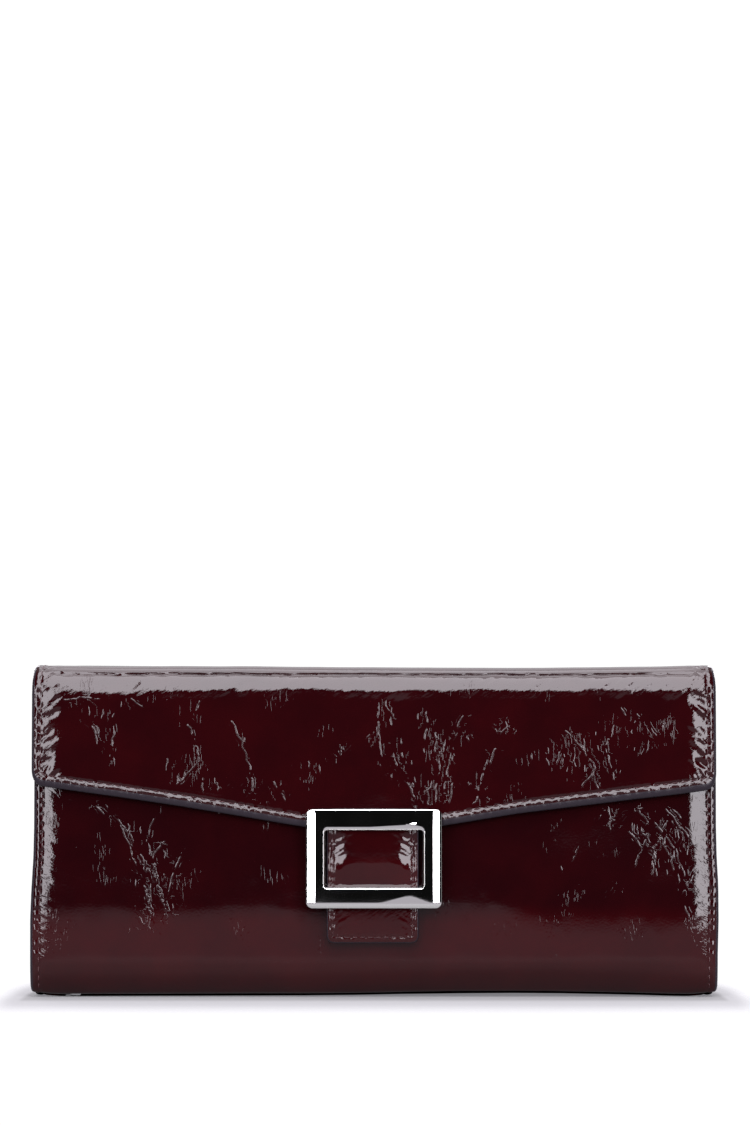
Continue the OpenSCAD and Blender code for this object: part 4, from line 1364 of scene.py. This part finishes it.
slider_low, slider_high = box_of("zip_slider")
sx, sy = (slider_low[0] + slider_high[0]) / 2, (slider_low[1] + slider_high[1]) / 2
hw = (slider_high[1] - slider_low[1]) / 2
roof = slider_high[2] - 1.9
HALF_BODY = [(-4, 0.75), (-3, 0.95), (2, 1), (3.4, 0.9), (4, 0.5)]
body_outline = [(sx + x, sy - hw * y) for x, y in HALF_BODY] + [(sx + 3.6, sy)]
body_outline += [(sx + x, sy + hw * y) for x, y in HALF_BODY[::-1]]
slider_roof = plate("slider_roof", body_outline, [], roof - 0.8, roof, NICKEL, 0.2)
slider_sides = bevelled("slider_sides", [
    ((sx - 3.8, sy - hw, slider_low[2]), (sx + 3.6, sy - hw + 0.45, roof - 0.3)),
    ((sx - 3.8, sy + hw - 0.45, slider_low[2]), (sx + 3.6, sy + hw, roof - 0.3)),
    ((sx - 1.6, sy - 0.7, roof - 0.3), (sx - 0.75, sy + 0.7, roof + 1.55)),
    ((sx + 0.75, sy - 0.7, roof - 0.3), (sx + 1.6, sy + 0.7, roof + 1.55)),
    ((sx - 1.6, sy - 0.7, roof + 1.45), (sx + 1.6, sy + 0.7, roof + 1.9))], 0.2, NICKEL)
for piece in (slider_roof, slider_sides):
    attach(piece, "slider")
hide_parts("zip_slider")

pull_low, pull_high = box_of("zip_pull")
hinge_z = (pull_low[2] + pull_high[2]) / 2
tip = pull_low[0]
fork = [(sx - 0.4, -2), (sx - 0.4, -0.95), (sx - 2.2, -0.95)]
handle = [(sx - 3.5, 1.7), (tip + 4, 2.0), (tip + 1.6, 2.0), (tip + 0.5, 1.3)]
half_round = [(x, -y) for x, y in fork[::-1]] + handle + [(tip, 0)] + [(x, -y) for x, y in handle[::-1]]
outline = [(x, sy + y) for x, y in fork + half_round]
pull_plate = plate("pull_plate", outline, [circle(tip + 2.4, sy, 0.95)], hinge_z - 0.4, hinge_z + 0.4,
                   NICKEL, 0.14)
pin_points = [(x, sy + y, z) for y in (-2, -0.9, 0.9, 2) for x, z in circle(sx, hinge_z, 0.43, 12)]
pull_pin = make("pull_pin", pin_points, ring_faces(4, 12), [NICKEL])
for word, side in (("left", -1), ("right", 1)):
    ear_y = sy + side * 1.5
    ears = bevelled(f"pull_ear_{word}", [
        ((sx - 0.9, ear_y - 0.5, hinge_z - 0.55), (sx + 0.6, ear_y + 0.5, hinge_z + 0.55))], 0.3, NICKEL)
    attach(ears, "pull")
for piece in (pull_plate, pull_pin):
    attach(piece, "pull")
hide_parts("zip_pull")


def turned(name, y, profile):
    """A nickel piece turned on the snap's axis. Profile points are (radius, distance in front of y)."""
    points = [(px, y - out, pz) for r, out in profile for px, pz in circle(0, SNAP_Z, r, 40)]
    return make(name, points, ring_faces(len(profile), 40), [NICKEL])


stud = turned("stud", Y_FRONT, [
    (0.01, 2.0), (1.2, 2.0), (1.75, 1.8), (1.9, 1.45), (1.6, 1.05), (1.55, 0.85), (2.2, 0.62), (3.4, 0.5),
    (4.6, 0.5), (5.2, 0.4), (5.5, 0.15), (5.5, 0)])
socket = turned("socket", Y_FLAP + 1.7, [
    (0.01, 1.3), (2.3, 1.3), (2.5, 1.0), (2.5, 0.15), (2.7, 0), (3.3, 0), (3.6, 0.25), (4.4, 0.35),
    (5.1, 0.5), (5.5, 0.9), (5.5, 1.7)])
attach(stud, "front")
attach(socket, "flap")
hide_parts("snap_stud")
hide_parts("snap_socket")


def bellows_curve(panel_y, pocket_y, facing):
    """A bellows fold seen from above, from a panel's edge to the coin pocket's."""
    valley_y = (pocket_y + panel_y) / 2 - facing * 0.5
    # Each knot is an X, a place to measure from and a distance from it towards the panel.
    knots = np.array([(x, near + facing * out) for x, near, out in (
        (95.3, panel_y, -0.3), (93.2, panel_y, -0.9), (88.5, valley_y, 1.3), (85.3, valley_y, 0.35),
        (84.9, valley_y, 0), (85.3, valley_y, -0.35), (88, valley_y, -1.0), (92, pocket_y, 0.7),
        (93.4, pocket_y, 0.35))])
    t, at = np.linspace(0, len(knots) - 1, 60), np.arange(len(knots))
    curve = np.c_[np.interp(t, at, knots[:, 0]), np.interp(t, at, knots[:, 1])]
    for _ in range(3):
        curve[1:-1] = (curve[:-2] + 2 * curve[1:-1] + curve[2:]) / 4
    return curve


GUSSET_HALF_T = 0.3


def gusset(word, facing, name, side):
    """A bellows fold, thin and slightly curved, with its thin upper and lower edges."""
    low, high = box_of(f"{word}_gusset_{name}")
    panel_y, pocket_y = (high[1], low[1]) if facing > 0 else (low[1], high[1])
    curve = bellows_curve(panel_y, pocket_y, facing)
    away = np.gradient(curve, axis=0)
    away /= np.linalg.norm(away, axis=1)[:, None]
    across = np.c_[-away[:, 1], away[:, 0]] * GUSSET_HALF_T
    outline = np.vstack([curve + across, (curve - across)[::-1]])
    run = np.r_[0, np.cumsum(np.hypot(*np.diff(curve, axis=0).T))]
    lengths = np.r_[run, run[::-1]]
    zs = np.r_[low[2], low[2] + 0.3, np.linspace(low[2] + 2, high[2] - 2, 26), high[2] - 0.3, high[2]]
    shrink = np.ones(len(zs))
    shrink[[0, -1]] = 0.4
    middle = np.vstack([curve, curve[::-1]])
    points, sheet = [], []
    for z, k in zip(zs, shrink):
        ring = middle + (outline - middle) * k
        points.append(np.c_[side * ring[:, 0], ring[:, 1], np.full(len(ring), z)])
        sheet.append(np.c_[lengths, np.full(len(ring), z), np.zeros(len(ring))])
    count = len(outline)
    faces = ring_faces(len(zs), count)[:, ::side * facing].tolist()
    for base in (0, (len(zs) - 1) * count):
        for i in range(len(curve) - 1):
            faces.append([base + i, base + i + 1, base + count - 2 - i, base + count - 1 - i])
    piece = make(f"{word}_bellows_{name}", np.vstack(points), faces, [INNER], None,
                 {"sheet": np.vstack(sheet)})
    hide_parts(f"{word}_gusset_{name}")
    if facing > 0:
        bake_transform(piece)
    else:
        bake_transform(piece)


for name, side in (("left", -1), ("right", 1)):
    gusset("rear", 1, name, side)
    gusset("front", -1, name, side)

# Pieces that keep their CAD shapes.
KEPT = {BOARD: ("back_board", "front_board", "flap_board"),
        NICKEL: ("snap_cap", "snap_stud_washer", "buckle_rivets", "buckle_washers")}
for mat, nodes in KEPT.items():
    for node in nodes:
        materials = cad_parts[node].data.materials
        materials.clear()
        materials.append(mat)

# ---------------------------------------------------------------- floor
made, n = material("floor")
x, y, _ = n.add("ShaderNodeSeparateXYZ", {0: object_place(n)}).outputs
out_x, out_y = (n.math("MAXIMUM", n.math("SUBTRACT", n.math("ABSOLUTE", along), half), 0.0)
                for along, half in ((x, 98.0), (y, 12.0)))
out_x = n.times(out_x, 6.0)  # the painted shade ends sooner past the wallet's ends
away = n.math("SQRT", n.plus(n.math("POWER", out_x, 2.0), n.math("POWER", out_y, 2.0)))
# The floor lights itself by emission, a painted light: it is dimmer near the wallet's footprint as a
# painted contact shadow, and brighter further out.
painted_floor_light = n.plus(n.span(away, 0.0, 14.0, 0.2, 0.38), n.span(away, 14.0, 70.0, 0.0, 0.3))
paper = n.add("ShaderNodeBsdfPrincipled", {
    "Base Color": (0.12, 0.12, 0.12, 1), "Roughness": 1.0, "Specular IOR Level": 0.0,
    "Emission Color": (1.0, 0.985, 1.06, 1.0), "Emission Strength": painted_floor_light})
clear = n.add("ShaderNodeBsdfTransparent")
faded = n.add("ShaderNodeMixShader",
              {0: n.span(away, 20.0, 95.0), 1: paper.outputs[0], 2: clear.outputs[0]})
n.add("ShaderNodeOutputMaterial", {0: faded.outputs[0]})
FLOOR_X, FLOOR_Y = 230, 130
floor = make("floor", [(-FLOOR_X, -FLOOR_Y, 0), (FLOOR_X, -FLOOR_Y, 0), (FLOOR_X, FLOOR_Y, 0),
                       (-FLOOR_X, FLOOR_Y, 0)], [[0, 1, 2, 3]], [made])
